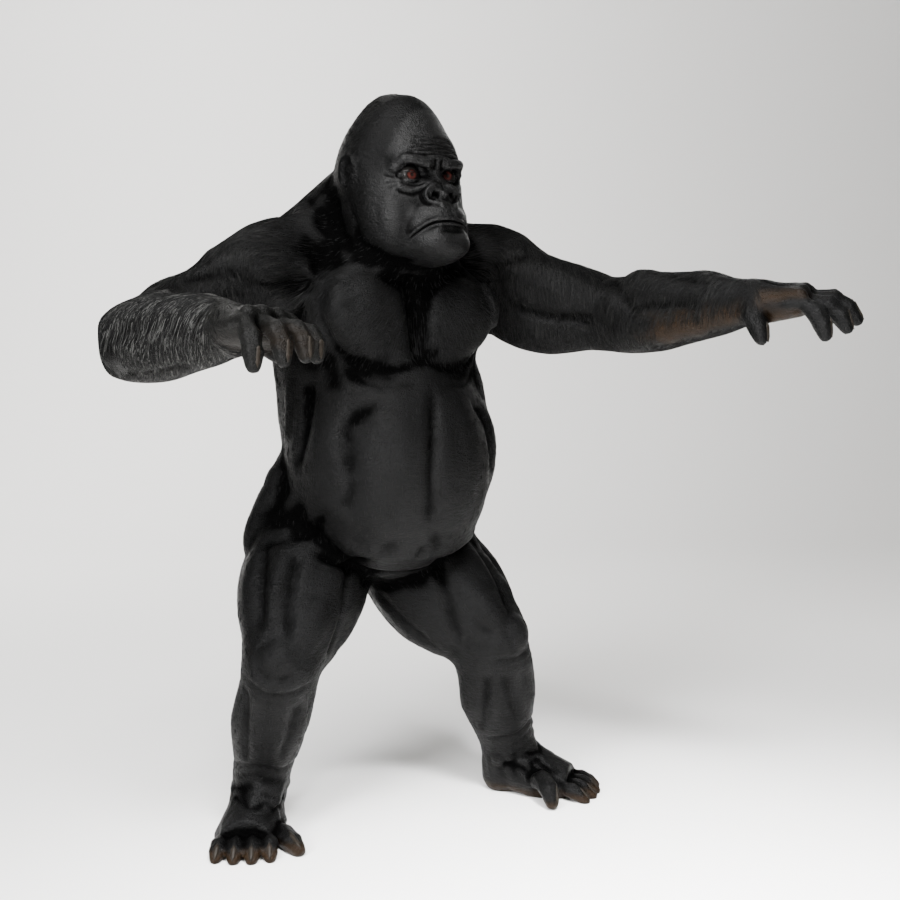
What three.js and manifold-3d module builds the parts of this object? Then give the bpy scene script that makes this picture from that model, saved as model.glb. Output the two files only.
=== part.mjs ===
// An adult male gorilla, life size, standing on two slightly bent legs with both arms held out in front.
//
// The body is a soft field: rounded lumps of muscle and bone that flow into each other. Each sub-part is
// a skin cast on that field by rays from the part's own centre line, and neighbours are parted by thin cuts.
//
// Millimetres, +Z up. The animal faces -Y and its left is +X. The origin is the floor point under the
// middle of the bounding box.

import * as THREE from "three";
import { mergeVertices } from "three/addons/utils/BufferGeometryUtils.js";
import Module from "manifold-3d";

const wasm = await Module();
wasm.setup();

const LEFT = 1;
const RIGHT = -1;
const UP = new THREE.Vector3(0, 0, 1);
const DOWN = new THREE.Vector3(0, 0, -1);
const point = (x, y, z) => new THREE.Vector3(x, y, z);
const sideName = (side) => (side === LEFT ? "left" : "right");

// ---------------------------------------------------------------- driving dimensions

const CUT_GAP = 0.6; // width of the thin cut between two neighbouring parts
const MIDLINE = 12; // X of the trunk's middle plane

// Where the joints of the skeleton are, in the standing pose.
const SHOULDER = { [LEFT]: point(284, 30, 1249), [RIGHT]: point(-250, 30, 1212) };
const ELBOW = { [LEFT]: point(492, -263, 1122), [RIGHT]: point(-560, -10, 1060) };
const WRIST = { [LEFT]: point(520, -622, 1142), [RIGHT]: point(-468, -344, 1078) };
const HIP = { [LEFT]: point(98, 85, 618), [RIGHT]: point(-108, 72, 632) };
const KNEE = { [LEFT]: point(236, -92, 383), [RIGHT]: point(-279, -85, 388) };
const ANKLE = { [LEFT]: point(325, -26, 95), [RIGHT]: point(-281, 38, 97) };

// Which way the hands and feet point, level with the floor, and how far the big toe turns inwards.
const HAND_DIRECTION = { [LEFT]: point(0.58, -0.81, 0), [RIGHT]: point(0.28, -0.955, 0.07) };
const PALM_FACING = { [LEFT]: point(0.11, 0.08, -0.98), [RIGHT]: point(-0.13, 0, -0.99) };
const FOOT_DIRECTION = { [LEFT]: point(0.67, -0.74, 0), [RIGHT]: point(-0.46, -0.888, 0) };

// The side of each upper arm that the biceps is on.
const BICEPS_SIDE = { [LEFT]: point(-0.2, -0.15, 0.9), [RIGHT]: point(0.1, -1, 0.15) };
const BIG_TOE_SPREAD = { [LEFT]: 50, [RIGHT]: 33 };
const BIG_TOE_BEND = { [LEFT]: [18, -40, -35], [RIGHT]: [-3, -6, -4] };

// The head: its origin is the point between the eyes.
const EYE_LEVEL = point(22, -204, 1407);
const HEAD_TURN = 8; // degrees to the animal's left
const EYE_SPACING = 90;
const EYE_RADIUS = 20;
const EYE_DEPTH = 13; // how far the eyeball's centre lies behind the head's origin

// Hands and feet.
const PALM_LENGTH = 112;
const KNUCKLE_SPAN = 116; // from the index knuckle to the little finger's
const FINGER_RADIUS = 17.5;

// Each finger: its place across the knuckles, how far it is turned outwards and how far it bends at each
// joint, in degrees, and its length.
const FINGERS = {
  index: { across: 0.5, spread: 7, length: 80, bends: { [LEFT]: [32, 30, 12], [RIGHT]: [18, 36, 24] } },
  middle: { across: 0.167, spread: 2, length: 98, bends: { [LEFT]: [12, 30, 20], [RIGHT]: [14, 34, 24] } },
  ring: { across: -0.167, spread: -4, length: 104, bends: { [LEFT]: [4, 28, 20], [RIGHT]: [22, 34, 20] } },
  little: { across: -0.5, spread: -12, length: 98, bends: { [LEFT]: [4, 30, 20], [RIGHT]: [46, 20, 10] } },
};
const THUMB_BEND = { [LEFT]: [36, 22, 14], [RIGHT]: [16, 16, 12] };
const THUMB_BONES = [30, 24, 18];

const TOE_RADIUS = 14.9;
const TOES = { second: -0.5, third: -0.167, fourth: 0.167, fifth: 0.5 }; // each toe's place across the foot
const TOE_SPAN = 96;
const TOE_LENGTH = 66;
const TOE_BEND = [-8, -14, -10];
const BIG_TOE_BONES = [50, 36, 26];
const PHALANGES = [0.44, 0.32, 0.24]; // the share of a digit's length that each of its bones has

const NAIL_BED = 0.78; // how far out from the last bone's middle the nail begins, as a share of its radius
const NAIL_TILT = 0.2; // how much the nail dips towards the tip

// ---------------------------------------------------------------- the soft field

// A frame of its own for each part: x is lateral (away from the body's middle), y is the part's front
// and z runs along it, away from the trunk.
function frameOf(origin, along, front, side = LEFT) {
  const z = along.clone().normalize();
  const y = front.clone().addScaledVector(z, -front.dot(z)).normalize();
  const x = y.clone().cross(z).multiplyScalar(side);
  return new THREE.Matrix4().makeBasis(x, y, z).setPosition(origin);
}

const place = (frame, [x, y, z]) => point(x, y, z).applyMatrix4(frame);

// A lump is an ellipsoid in a frame. blend is the width over which it flows into the lumps before it, and
// turn rotates it about its own centre, in degrees. A hollow is the same shape, taken away.
function lump(frame, at, radii, { blend = 30, turn = [0, 0, 0], hollow = false } = {}) {
  const angles = turn.map(THREE.MathUtils.degToRad);
  const spin = new THREE.Matrix4().makeRotationFromEuler(new THREE.Euler(...angles));
  const matrix = frame.clone().multiply(new THREE.Matrix4().makeTranslation(...at)).multiply(spin);
  const inverse = matrix.invert().elements;
  const [a, b, c] = radii;
  const distance = (x, y, z) => {
    const px = inverse[0] * x + inverse[4] * y + inverse[8] * z + inverse[12];
    const py = inverse[1] * x + inverse[5] * y + inverse[9] * z + inverse[13];
    const pz = inverse[2] * x + inverse[6] * y + inverse[10] * z + inverse[14];
    const near = Math.hypot(px / a, py / b, pz / c);
    const slope = Math.hypot(px / (a * a), py / (b * b), pz / (c * c));
    return slope < 1e-9 ? -Math.min(a, b, c) : (near * (near - 1)) / slope;
  };
  return { distance, blend, hollow };
}

// A bone is a tapered round bar between two points.
function bone(from, to, startRadius, endRadius, { blend = 30, hollow = false } = {}) {
  const axis = to.clone().sub(from);
  const length = axis.length();
  axis.divideScalar(length);
  const fall = (startRadius - endRadius) / length;
  const slant = Math.sqrt(Math.max(0, 1 - fall * fall));
  const distance = (x, y, z) => {
    const dx = x - from.x;
    const dy = y - from.y;
    const dz = z - from.z;
    const along = dx * axis.x + dy * axis.y + dz * axis.z;
    const out = Math.sqrt(Math.max(0, dx * dx + dy * dy + dz * dz - along * along));
    const k = -out * fall + along * slant;
    if (k < 0) return Math.hypot(out, along) - startRadius;
    if (k > length * slant) return Math.hypot(out, along - length) - endRadius;
    return out * slant + along * fall - startRadius;
  };
  return { distance, blend, hollow };
}

// Bones along a chain of [point, radius] pairs.
function chain(links, options) {
  return links.slice(1).map(([to, radius], i) => bone(links[i][0], to, links[i][1], radius, options));
}

function softMin(a, b, k) {
  const h = Math.max(k - Math.abs(a - b), 0) / k;
  return Math.min(a, b) - (h * h * k) / 4;
}

function fieldAt(forms, p) {
  let d = Infinity;
  for (const form of forms) {
    const e = form.distance(p.x, p.y, p.z);
    if (form.hollow) d = -softMin(-d, e, form.blend);
    else d = d === Infinity ? e : softMin(d, e, form.blend);
  }
  return d;
}

// ---------------------------------------------------------------- casting a skin on the field

const FIRST_STEP = 4;
const BISECTIONS = 14;

// How far a ray runs from inside the field to its surface, but no further than reach.
function exitDistance(forms, from, direction, reach) {
  const at = (r) => fieldAt(forms, from.clone().addScaledVector(direction, r));
  let inside = 0;
  let outside = 0;
  while (outside < reach) {
    outside = Math.min(reach, outside + Math.max(FIRST_STEP, -at(outside) * 0.7));
    if (at(outside) > 0) break;
    inside = outside;
  }
  if (inside === reach) return reach;
  for (let i = 0; i < BISECTIONS; i++) {
    const middle = (inside + outside) / 2;
    if (at(middle) > 0) outside = middle;
    else inside = middle;
  }
  return inside;
}

// A closed skin round a spine. Rings of rays leave the spine square to it, and a fan of rings closes each
// end: 'dome' ends are rounded by rays that swing round to the spine's own direction, 'flat' ones aren't.
function castSkin(forms, spine, front, options) {
  const { spokes, rings, domeStart = 0, domeEnd = 0, reach = 400 } = options;
  const rows = [];
  const addRow = (t, swing) => {
    const origin = spine.getPoint(t);
    const z = spine.getTangent(t).normalize();
    const y = front.clone().addScaledVector(z, -front.dot(z)).normalize();
    const x = y.clone().cross(z);
    const row = [];
    for (let i = 0; i < spokes; i++) {
      const angle = (i / spokes) * 2 * Math.PI;
      const out = x.clone().multiplyScalar(Math.cos(angle)).addScaledVector(y, Math.sin(angle));
      const direction = out.multiplyScalar(Math.cos(swing)).addScaledVector(z, Math.sin(swing)).normalize();
      const r = exitDistance(forms, origin, direction, reach);
      row.push(origin.clone().addScaledVector(direction, Math.max(r, 1)));
    }
    rows.push(row);
  };
  const quarter = Math.PI / 2;
  for (let i = domeStart; i > 0; i--) addRow(0, (-quarter * i) / (domeStart + 1));
  for (let i = 0; i <= rings; i++) addRow(i / rings, 0);
  for (let i = 1; i <= domeEnd; i++) addRow(1, (quarter * i) / (domeEnd + 1));

  const pole = (t, sign, domed) => {
    const origin = spine.getPoint(t);
    if (!domed) return origin;
    const direction = spine.getTangent(t).normalize().multiplyScalar(sign);
    return origin.clone().addScaledVector(direction, exitDistance(forms, origin, direction, reach));
  };
  return skinOfRows(rows, pole(0, -1, domeStart > 0), pole(1, 1, domeEnd > 0));
}

// Joins rings of points, and the pole at each end, into one closed geometry with its faces outwards.
function skinOfRows(rows, startPole, endPole) {
  const spokes = rows[0].length;
  const vertices = [...rows.flat(), startPole, endPole];
  const start = vertices.length - 2;
  const end = vertices.length - 1;
  const faces = [];
  for (let i = 0; i < spokes; i++) {
    const next = (i + 1) % spokes;
    faces.push(start, next, i);
    for (let j = 0; j + 1 < rows.length; j++) {
      const a = j * spokes + i;
      const b = j * spokes + next;
      const c = a + spokes;
      const d = b + spokes;
      faces.push(a, b, d, a, d, c);
    }
    const last = (rows.length - 1) * spokes;
    faces.push(end, last + i, last + next);
  }
  const geometry = new THREE.BufferGeometry().setFromPoints(vertices);
  geometry.setIndex(faces);
  return geometry;
}

// ---------------------------------------------------------------- solids: joins and cuts

function solidOf(geometry) {
  const bare = geometry.clone();
  bare.deleteAttribute("normal");
  bare.deleteAttribute("uv");
  const merged = mergeVertices(bare, 1e-3);
  const made = new wasm.Mesh({
    numProp: 3,
    vertProperties: merged.attributes.position.array,
    triVerts: new Uint32Array(merged.index.array),
  });
  return new wasm.Manifold(made);
}

function geometryOf(solid) {
  const { vertProperties, triVerts } = solid.getMesh();
  const geometry = new THREE.BufferGeometry();
  geometry.setAttribute("position", new THREE.BufferAttribute(new Float32Array(vertProperties), 3));
  geometry.setIndex(new THREE.BufferAttribute(new Uint32Array(triVerts), 1));
  geometry.computeVertexNormals();
  return geometry;
}

// A cut is a plane between two parts. trim keeps what lies behind the plane (or before it, with keep = 1),
// half a gap away from it.
const cut = (at, normal) => ({ at, normal: normal.clone().normalize() });
const BLOCK = 4000;

function trim(solid, plane, keep) {
  const away = plane.normal.clone().multiplyScalar(-keep);
  const block = new THREE.BoxGeometry(BLOCK, BLOCK, BLOCK);
  block.translate(0, 0, BLOCK / 2 - CUT_GAP / 2);
  block.applyQuaternion(new THREE.Quaternion().setFromUnitVectors(UP, away));
  block.translate(plane.at.x, plane.at.y, plane.at.z);
  return solid.subtract(solidOf(block));
}

const BEHIND = -1;
const BEFORE = 1;

// The largest piece of a solid, without the crumbs that a cut can leave.
function mainPiece(solid) {
  return solid.decompose().reduce((best, piece) => (piece.volume() > best.volume() ? piece : best));
}

// ---------------------------------------------------------------- materials

const skinLook = new THREE.MeshStandardMaterial({ color: 0x1c1b1a, roughness: 0.5, metalness: 0 });
const faceLook = new THREE.MeshStandardMaterial({ color: 0x191919, roughness: 0.42, metalness: 0 });
const palmLook = new THREE.MeshStandardMaterial({ color: 0x2b241e, roughness: 0.55, metalness: 0 });
const eyeLook = new THREE.MeshStandardMaterial({ color: 0x6e3028, roughness: 0.15, metalness: 0 });
const nailLook = new THREE.MeshStandardMaterial({ color: 0x3a342e, roughness: 0.4, metalness: 0 });

const gorilla = new THREE.Group();
const body = new THREE.Group();
gorilla.add(body);

function addPart(name, solid, material) {
  const mesh = new THREE.Mesh(geometryOf(mainPiece(solid)), material);
  mesh.name = name;
  body.add(mesh);
}

// ---------------------------------------------------------------- frames of the parts

const trunkFrame = new THREE.Matrix4().makeTranslation(MIDLINE, 0, 0);
const headFrame = new THREE.Matrix4()
  .makeRotationZ(THREE.MathUtils.degToRad(HEAD_TURN))
  .setPosition(EYE_LEVEL);

const between = (a, b) => b.clone().sub(a);
const upperArmFrame = {};
const forearmFrame = {};
const handFrame = {};
const thighFrame = {};
const shinFrame = {};
const footFrame = {};
for (const side of [LEFT, RIGHT]) {
  const forearm = between(ELBOW[side], WRIST[side]);
  const upperArm = between(SHOULDER[side], ELBOW[side]);
  upperArmFrame[side] = frameOf(SHOULDER[side], upperArm, BICEPS_SIDE[side], side);
  forearmFrame[side] = frameOf(ELBOW[side], forearm, DOWN, side);
  handFrame[side] = frameOf(WRIST[side], HAND_DIRECTION[side], PALM_FACING[side], side);
  const shin = between(KNEE[side], ANKLE[side]);
  const kneeFront = between(HIP[side].clone().add(ANKLE[side]).divideScalar(2), KNEE[side]);
  kneeFront.addScaledVector(FOOT_DIRECTION[side], kneeFront.length());
  thighFrame[side] = frameOf(HIP[side], between(HIP[side], KNEE[side]), kneeFront, side);
  shinFrame[side] = frameOf(KNEE[side], shin, kneeFront, side);
  const sole = point(ANKLE[side].x, ANKLE[side].y, 0);
  footFrame[side] = frameOf(sole, FOOT_DIRECTION[side], UP, side);
}

// ---------------------------------------------------------------- the forms of the body

const mirrored = (make) => [...make(LEFT), ...make(RIGHT)];

// Trunk lumps are placed by [left of the middle, back, height].
const trunkForms = [
  lump(trunkFrame, [0, 35, 1120], [212, 165, 200]), // rib cage
  lump(trunkFrame, [0, -35, 800], [236, 225, 245], { blend: 160 }), // belly
  lump(trunkFrame, [0, 60, 930], [190, 150, 240], { blend: 100 }), // loin
  lump(trunkFrame, [0, 45, 665], [185, 140, 135], { blend: 80 }), // pelvis
  lump(trunkFrame, [0, 95, 1240], [190, 110, 110], { blend: 90 }), // hump between the shoulders
  ...mirrored((side) => [
    lump(trunkFrame, [side * 105, -85, 1130], [118, 85, 112], { blend: 35 }), // breast muscle
    lump(trunkFrame, [side * 152, 95, 1050], [66, 90, 180], { blend: 60 }), // broad back muscle
    lump(trunkFrame, [side * 120, 105, 1190], [110, 70, 110], { blend: 60 }), // shoulder blade
    lump(trunkFrame, [side * 150 - 12, 96, 612], [142, 122, 156], { blend: 50 }), // hip
    lump(trunkFrame, [side * 80, 150, 620], [95, 90, 115], { blend: 50 }), // buttock
  ]),
];

const shoulderForms = (side) => [
  lump(upperArmFrame[side], [10, -6, 12], [98, 98, 118], { blend: 50 }), // shoulder muscle
];

const upperArmForms = (side) => [
  bone(SHOULDER[side], ELBOW[side], 80, 68),
  ...shoulderForms(side),
  lump(upperArmFrame[side], [0, 18, 195], [76, 64, 110], { blend: 40 }), // biceps
  lump(upperArmFrame[side], [0, -58, 190], [84, 74, 165], { blend: 40 }), // triceps
  lump(upperArmFrame[side], [0, -82, 85], [80, 72, 120], { blend: 40 }), // back of the armpit
];

const forearmForms = (side) => [
  bone(ELBOW[side], WRIST[side], 66, 44),
  lump(forearmFrame[side], [6, -4, 85], [86, 88, 140], { blend: 40 }), // bellies of the forearm muscles
  lump(forearmFrame[side], [0, -9, 225], [68, 69, 130], { blend: 40 }), // towards the wrist
  lump(upperArmFrame[side], [0, -30, 350], [48, 48, 60], { blend: 40 }), // point of the elbow
];

const thighForms = (side) => [
  bone(HIP[side], KNEE[side], 118, 80),
  lump(thighFrame[side], [10, 32, 150], [108, 92, 190], { blend: 50 }), // front of the thigh
  lump(thighFrame[side], [-34, -46, 112], [106, 100, 185], { blend: 50 }), // back and inside of the thigh
  lump(thighFrame[side], [50, -6, 122], [100, 100, 165], { blend: 50 }), // outside of the thigh
];

const kneeForms = (side) => [
  lump(shinFrame[side], [0, 46, -8], [52, 46, 58], { blend: 35 }), // kneecap
];

const shinForms = (side) => [
  bone(KNEE[side], ANKLE[side], 76, 58),
  lump(shinFrame[side], [0, -28, 118], [81, 68, 145], { blend: 40 }), // calf
  lump(shinFrame[side], [2, 18, 130], [68, 60, 150], { blend: 40 }), // front of the shin
];

const footForms = (side) => [
  lump(footFrame[side], [0, 34, -12], [44, 46, 48]), // heel
  ...chain(
    [
      [place(footFrame[side], [0, 85, 5]), 48],
      [place(footFrame[side], [5, 50, 70]), 46],
      [place(footFrame[side], [14, 30, 135]), 34],
    ],
    { blend: 40 },
  ),
  lump(footFrame[side], [14, 26, 122], [68, 32, 56], { blend: 40 }), // ball of the foot
  lump(footFrame[side], [38, 24, 62], [30, 26, 70], { blend: 40 }), // outer edge
  lump(footFrame[side], [-30, 36, 66], [32, 30, 44], { blend: 30 }), // ball of the big toe
];

// ---------------------------------------------------------------- the head

// Head lumps are placed by [left, back, above] the point between the eyes.
const headForms = [
  lump(headFrame, [0, 138, 25], [118, 136, 120]), // skull
  lump(headFrame, [0, 130, 90], [84, 104, 104], { blend: 60 }), // crown and crest
  lump(headFrame, [0, 32, 52], [74, 38, 36], { blend: 40 }), // forehead
  lump(headFrame, [0, 54, -30], [72, 60, 80], { blend: 40 }), // middle of the face
  lump(headFrame, [0, -14, -88], [60, 54, 31], { blend: 24 }), // upper lip
  lump(headFrame, [0, 34, -92], [55, 70, 46], { blend: 40 }), // upper jaw
  lump(headFrame, [0, -15, -141], [66, 63, 44], { blend: 14 }), // chin
  lump(headFrame, [0, 60, -130], [74, 90, 50], { blend: 40 }), // lower jaw
  ...mirrored((side) => [
    lump(headFrame, [side * 70, 92, -72], [50, 82, 84], { blend: 50 }), // cheek and jaw muscle
    lump(headFrame, [side * 44, 4, -104], [24, 42, 24], { blend: 20 }), // corner of the mouth
    lump(headFrame, [side * 58, 40, -30], [26, 30, 26], { blend: 30 }), // cheekbone
    // The ridge of the brow, which drops and turns back towards its outer end.
    lump(headFrame, [side * 40, 6, 30], [42, 23, 17], { blend: 20, turn: [0, side * 8, side * 14] }),
    lump(headFrame, [side * 46, -19, -2], [26, 32, 14], { blend: 10, hollow: true }), // eye hollow
    lump(headFrame, [side * 22, -18, -36], [19, 20, 17], { blend: 12 }), // wing of the nose
  ]),
  lump(headFrame, [0, 2, 28], [26, 18, 13], { blend: 20 }), // brow between the eyes
  lump(headFrame, [0, 8, -18], [16, 30, 26], { blend: 20 }), // bridge of the nose
  lump(headFrame, [0, -24, -44], [16, 18, 14], { blend: 14 }), // tip of the nose
];

const neckForms = [
  bone(point(MIDLINE, 70, 1200), place(headFrame, [0, 150, -15]), 165, 104, { blend: 60 }),
  bone(point(MIDLINE, -10, 1220), place(headFrame, [0, 100, -60]), 115, 88, { blend: 60 }),
  ...mirrored((side) => [
    // The slope of muscle from the neck to the shoulder.
    bone(point(MIDLINE + side * 22, 105, 1362), point(MIDLINE + side * 215, 45, 1258), 97, 68, { blend: 60 }),
  ]),
];

// ---------------------------------------------------------------- cuts

const neckCut = cut(point(MIDLINE, 0, 1290), point(0, -0.45, 1));
const headCut = cut(place(headFrame, [0, 150, -92]), point(0, -0.62, 0.8));
const waistCut = cut(point(0, 0, 985), UP);
const shoulderCut = {};
const elbowCut = {};
const wristCut = {};
const crotchCut = {};
const kneeCut = {};
const ankleCut = {};
for (const side of [LEFT, RIGHT]) {
  const upperArm = between(SHOULDER[side], ELBOW[side]).normalize();
  const forearm = between(ELBOW[side], WRIST[side]).normalize();
  const thigh = between(HIP[side], KNEE[side]).normalize();
  const shin = between(KNEE[side], ANKLE[side]).normalize();
  const armpit = SHOULDER[side].clone().add(point(side * -42, 0, 0));
  shoulderCut[side] = cut(armpit, point(side * 0.93, -0.1, 0.32));
  elbowCut[side] = cut(ELBOW[side], upperArm.clone().add(forearm));
  wristCut[side] = cut(WRIST[side], forearm.clone().add(HAND_DIRECTION[side]));
  crotchCut[side] = cut(point(MIDLINE - 12, 0, 0), point(side, 0, 0));
  kneeCut[side] = cut(KNEE[side].clone().addScaledVector(shin, 20), thigh.clone().add(shin));
  ankleCut[side] = cut(ANKLE[side].clone().add(point(0, 0, 5)), shin.clone().add(DOWN));
}
const floorCut = cut(point(0, 0, 0), UP);

// ---------------------------------------------------------------- making the parts

const torsoForms = [...trunkForms, ...neckForms, ...mirrored(shoulderForms), ...headForms];

function trunkSolids() {
  const spine = new THREE.LineCurve3(point(MIDLINE, 20, 620), point(MIDLINE, 40, 1230));
  const skin = castSkin(torsoForms, spine, point(0, -1, 0), {
    spokes: 24,
    rings: 15,
    domeStart: 4,
    domeEnd: 3,
    reach: 420,
  });
  let whole = trim(solidOf(skin), neckCut, BEHIND);
  for (const side of [LEFT, RIGHT]) whole = trim(whole, shoulderCut[side], BEHIND);
  addPart("chest", trim(whole, waistCut, BEFORE), skinLook);
  const belly = trim(whole, waistCut, BEHIND);
  addPart("belly", belly, skinLook);
  return belly;
}

function neckSolid() {
  const spine = new THREE.LineCurve3(point(MIDLINE, 70, 1230), place(headFrame, [0, 110, -40]));
  const skin = castSkin(torsoForms, spine, point(0, -1, 0), { spokes: 20, rings: 8, reach: 300 });
  let neck = trim(trim(solidOf(skin), neckCut, BEFORE), headCut, BEHIND);
  for (const side of [LEFT, RIGHT]) neck = trim(neck, shoulderCut[side], BEHIND);
  addPart("neck", neck, skinLook);
}

function limbSolid(forms, from, to, front, options) {
  const spine = new THREE.LineCurve3(from, to);
  return solidOf(castSkin(forms, spine, front, { spokes: 12, rings: 7, ...options }));
}

const towards = (a, b, t) => a.clone().lerp(b, t);
const acrossOf = (frame) => point(0, 0, 0).setFromMatrixColumn(frame, 0);
const frontOf = (frame) => point(0, 0, 0).setFromMatrixColumn(frame, 1);

function armSolids(side) {
  const shoulder = towards(SHOULDER[side], ELBOW[side], -0.45);
  const upperForms = [...upperArmForms(side), ...forearmForms(side), ...trunkForms, ...neckForms];
  const elbowEnd = towards(SHOULDER[side], ELBOW[side], 1.05);
  const upper = limbSolid(upperForms, shoulder, elbowEnd, frontOf(upperArmFrame[side]), {
    domeEnd: 1,
    reach: 180,
  });
  addPart(
    `upper_arm_${sideName(side)}`,
    trim(trim(upper, shoulderCut[side], BEFORE), elbowCut[side], BEHIND),
    skinLook,
  );
  const lowerForms = [...forearmForms(side), ...upperArmForms(side), ...palmForms(side)];
  const wristEnd = towards(ELBOW[side], WRIST[side], 1.1);
  const lower = limbSolid(lowerForms, ELBOW[side], wristEnd, frontOf(forearmFrame[side]), {
    domeStart: 2,
    reach: 150,
  });
  addPart(
    `forearm_${sideName(side)}`,
    trim(trim(lower, elbowCut[side], BEFORE), wristCut[side], BEHIND),
    skinLook,
  );
}

function legSolids(side, belly) {
  const thigh = limbSolid(
    [...thighForms(side), ...kneeForms(side), ...shinForms(side)],
    towards(HIP[side], KNEE[side], -0.1),
    towards(HIP[side], KNEE[side], 1.1),
    frontOf(thighFrame[side]),
    { domeEnd: 1, reach: 190 },
  );
  const free = trim(trim(thigh, crotchCut[side], BEFORE), kneeCut[side], BEHIND);
  const hipSeat = grown(belly, point(MIDLINE, 30, 850), 1.003);
  addPart(`thigh_${sideName(side)}`, free.subtract(hipSeat), skinLook);
  const shinAll = [...shinForms(side), ...kneeForms(side), ...thighForms(side), ...footForms(side)];
  const shin = limbSolid(
    shinAll,
    towards(KNEE[side], ANKLE[side], -0.05),
    towards(KNEE[side], ANKLE[side], 1.12),
    frontOf(shinFrame[side]),
    { reach: 130 },
  );
  const calf = trim(trim(shin, kneeCut[side], BEFORE), ankleCut[side], BEHIND);
  addPart(`shin_${sideName(side)}`, calf, skinLook);
}

// ---------------------------------------------------------------- hands

const degrees = THREE.MathUtils.degToRad;

// A digit bends at each joint towards its front, in the plane of its own direction. The joints are
// returned as points, from the knuckle to the tip's centre.
function digitJoints(frame, base, spread, bends, lengths) {
  const joints = [place(frame, base)];
  let bend = 0;
  let [x, y, z] = base;
  lengths.forEach((length, i) => {
    bend += degrees(bends[i]);
    x += length * Math.sin(degrees(spread)) * Math.cos(bend);
    y += length * Math.sin(bend);
    z += length * Math.cos(degrees(spread)) * Math.cos(bend);
    joints.push(place(frame, [x, y, z]));
  });
  return joints;
}

function fingerLinks(side, { across, spread, length, bends }) {
  const base = [across * KNUCKLE_SPAN, 0, PALM_LENGTH - Math.abs(across) * 14];
  const lengths = PHALANGES.map((share) => share * length);
  const joints = digitJoints(handFrame[side], base, spread, bends[side], lengths);
  return joints.map((joint, i) => [joint, FINGER_RADIUS - i * 1.1]);
}

function thumbLinks(side) {
  const joints = digitJoints(handFrame[side], [46, 12, -6], 28, THUMB_BEND[side], THUMB_BONES);
  return joints.map((joint, i) => [joint, FINGER_RADIUS + 1 - i * 1.1]);
}

function palmForms(side) {
  const frame = handFrame[side];
  return [
    lump(frame, [0, 0, 58], [62, 32, 80]),
    lump(frame, [36, 10, 42], [28, 24, 42], { blend: 30 }), // ball of the thumb
    lump(frame, [-36, 8, 50], [26, 22, 48], { blend: 30 }), // heel of the hand
    ...Object.values(FINGERS).map(({ across }) => {
      const knuckle = [across * KNUCKLE_SPAN, -3, PALM_LENGTH - Math.abs(across) * 14 - 4];
      return lump(frame, knuckle, [22, 22, 24], { blend: 24 });
    }),
  ];
}

function digitForms(links) {
  const knuckles = links.slice(1, -1).map(([joint, radius]) => {
    const frame = new THREE.Matrix4().setPosition(joint);
    return lump(frame, [0, 0, 0], [radius + 1.5, radius + 1.5, radius + 1.5], { blend: 10 });
  });
  return [...chain(links, { blend: 8 }), ...knuckles];
}

// The spine of a digit has a ring at each joint and, for a long digit, one half-way along its longer bones.
function digitSolid(links, across, isLong) {
  const joints = links.map(([joint]) => joint);
  const stops = [joints[0]];
  for (let i = 1; i < joints.length; i++) {
    if (isLong && i < 3) stops.push(towards(joints[i - 1], joints[i], 0.5));
    stops.push(joints[i]);
  }
  const spine = new THREE.CatmullRomCurve3(stops);
  const options = { spokes: 6, rings: stops.length - 1, domeEnd: 1, reach: 34 };
  return solidOf(castSkin(digitForms(links), spine, across, options));
}

// A digit is parted from its nail by a cut under the back of its last bone.
function addDigit(name, solid, links, back) {
  const [[lastJoint], [tip, radius]] = links.slice(-2);
  const forward = between(lastJoint, tip).normalize();
  const normal = back.clone().addScaledVector(forward, -back.dot(forward)).normalize();
  const bed = tip.clone().addScaledVector(normal, radius * NAIL_BED);
  const nailCut = cut(bed, normal.clone().addScaledVector(forward, NAIL_TILT));
  addPart(name, trim(solid, nailCut, BEHIND), palmLook);
  addPart(name.replace(/_(left|right)$/, "_nail_$1"), trim(solid, nailCut, BEFORE), nailLook);
}

// The way the back of a digit's last bone faces: square to the bone and to the width of the hand or foot.
function backOf(links, across, sign) {
  return across.clone().cross(between(links[2][0], links[3][0])).multiplyScalar(sign).normalize();
}

function handSolids(side) {
  const frame = handFrame[side];
  const across = acrossOf(frame);
  const palm = palmForms(side);
  const heel = place(frame, [0, 0, -25]);
  const whole = limbSolid([...palm, ...forearmForms(side)], heel, place(frame, [0, 2, 88]), frontOf(frame), {
    spokes: 12,
    rings: 5,
    domeEnd: 3,
    reach: 90,
  });
  const webCut = cut(place(frame, [0, 0, PALM_LENGTH]), HAND_DIRECTION[side]);
  let hand = trim(trim(whole, wristCut[side], BEFORE), webCut, BEHIND);
  for (const [name, finger] of Object.entries(FINGERS)) {
    const links = fingerLinks(side, finger);
    const digit = trim(digitSolid(links, across, true), webCut, BEFORE);
    addDigit(`${name}_finger_${sideName(side)}`, digit, links, backOf(links, across, side));
  }
  const links = thumbLinks(side);
  const thumb = trim(rootedDigit(links, across), wristCut[side], BEFORE);
  addDigit(`thumb_${sideName(side)}`, thumb, links, backOf(links, across, side));
  hand = hand.subtract(grown(thumb, links[1][0]));
  addPart(`hand_${sideName(side)}`, hand, palmLook);
}

// A digit that starts a little way along its first bone.
function rootedDigit(links, across) {
  const direction = between(links[0][0], links[1][0]).normalize();
  const root = links[0][0].clone().addScaledVector(direction, 6);
  return trim(digitSolid(links, across, false), cut(root, direction), BEFORE);
}

// The same solid, a little larger about a point, to cut a clear seat for it.
function grown(solid, about, k = 1.03) {
  const away = about.clone().multiplyScalar(1 - k);
  return solid.scale([k, k, k]).translate([away.x, away.y, away.z]);
}

// ---------------------------------------------------------------- feet

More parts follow.
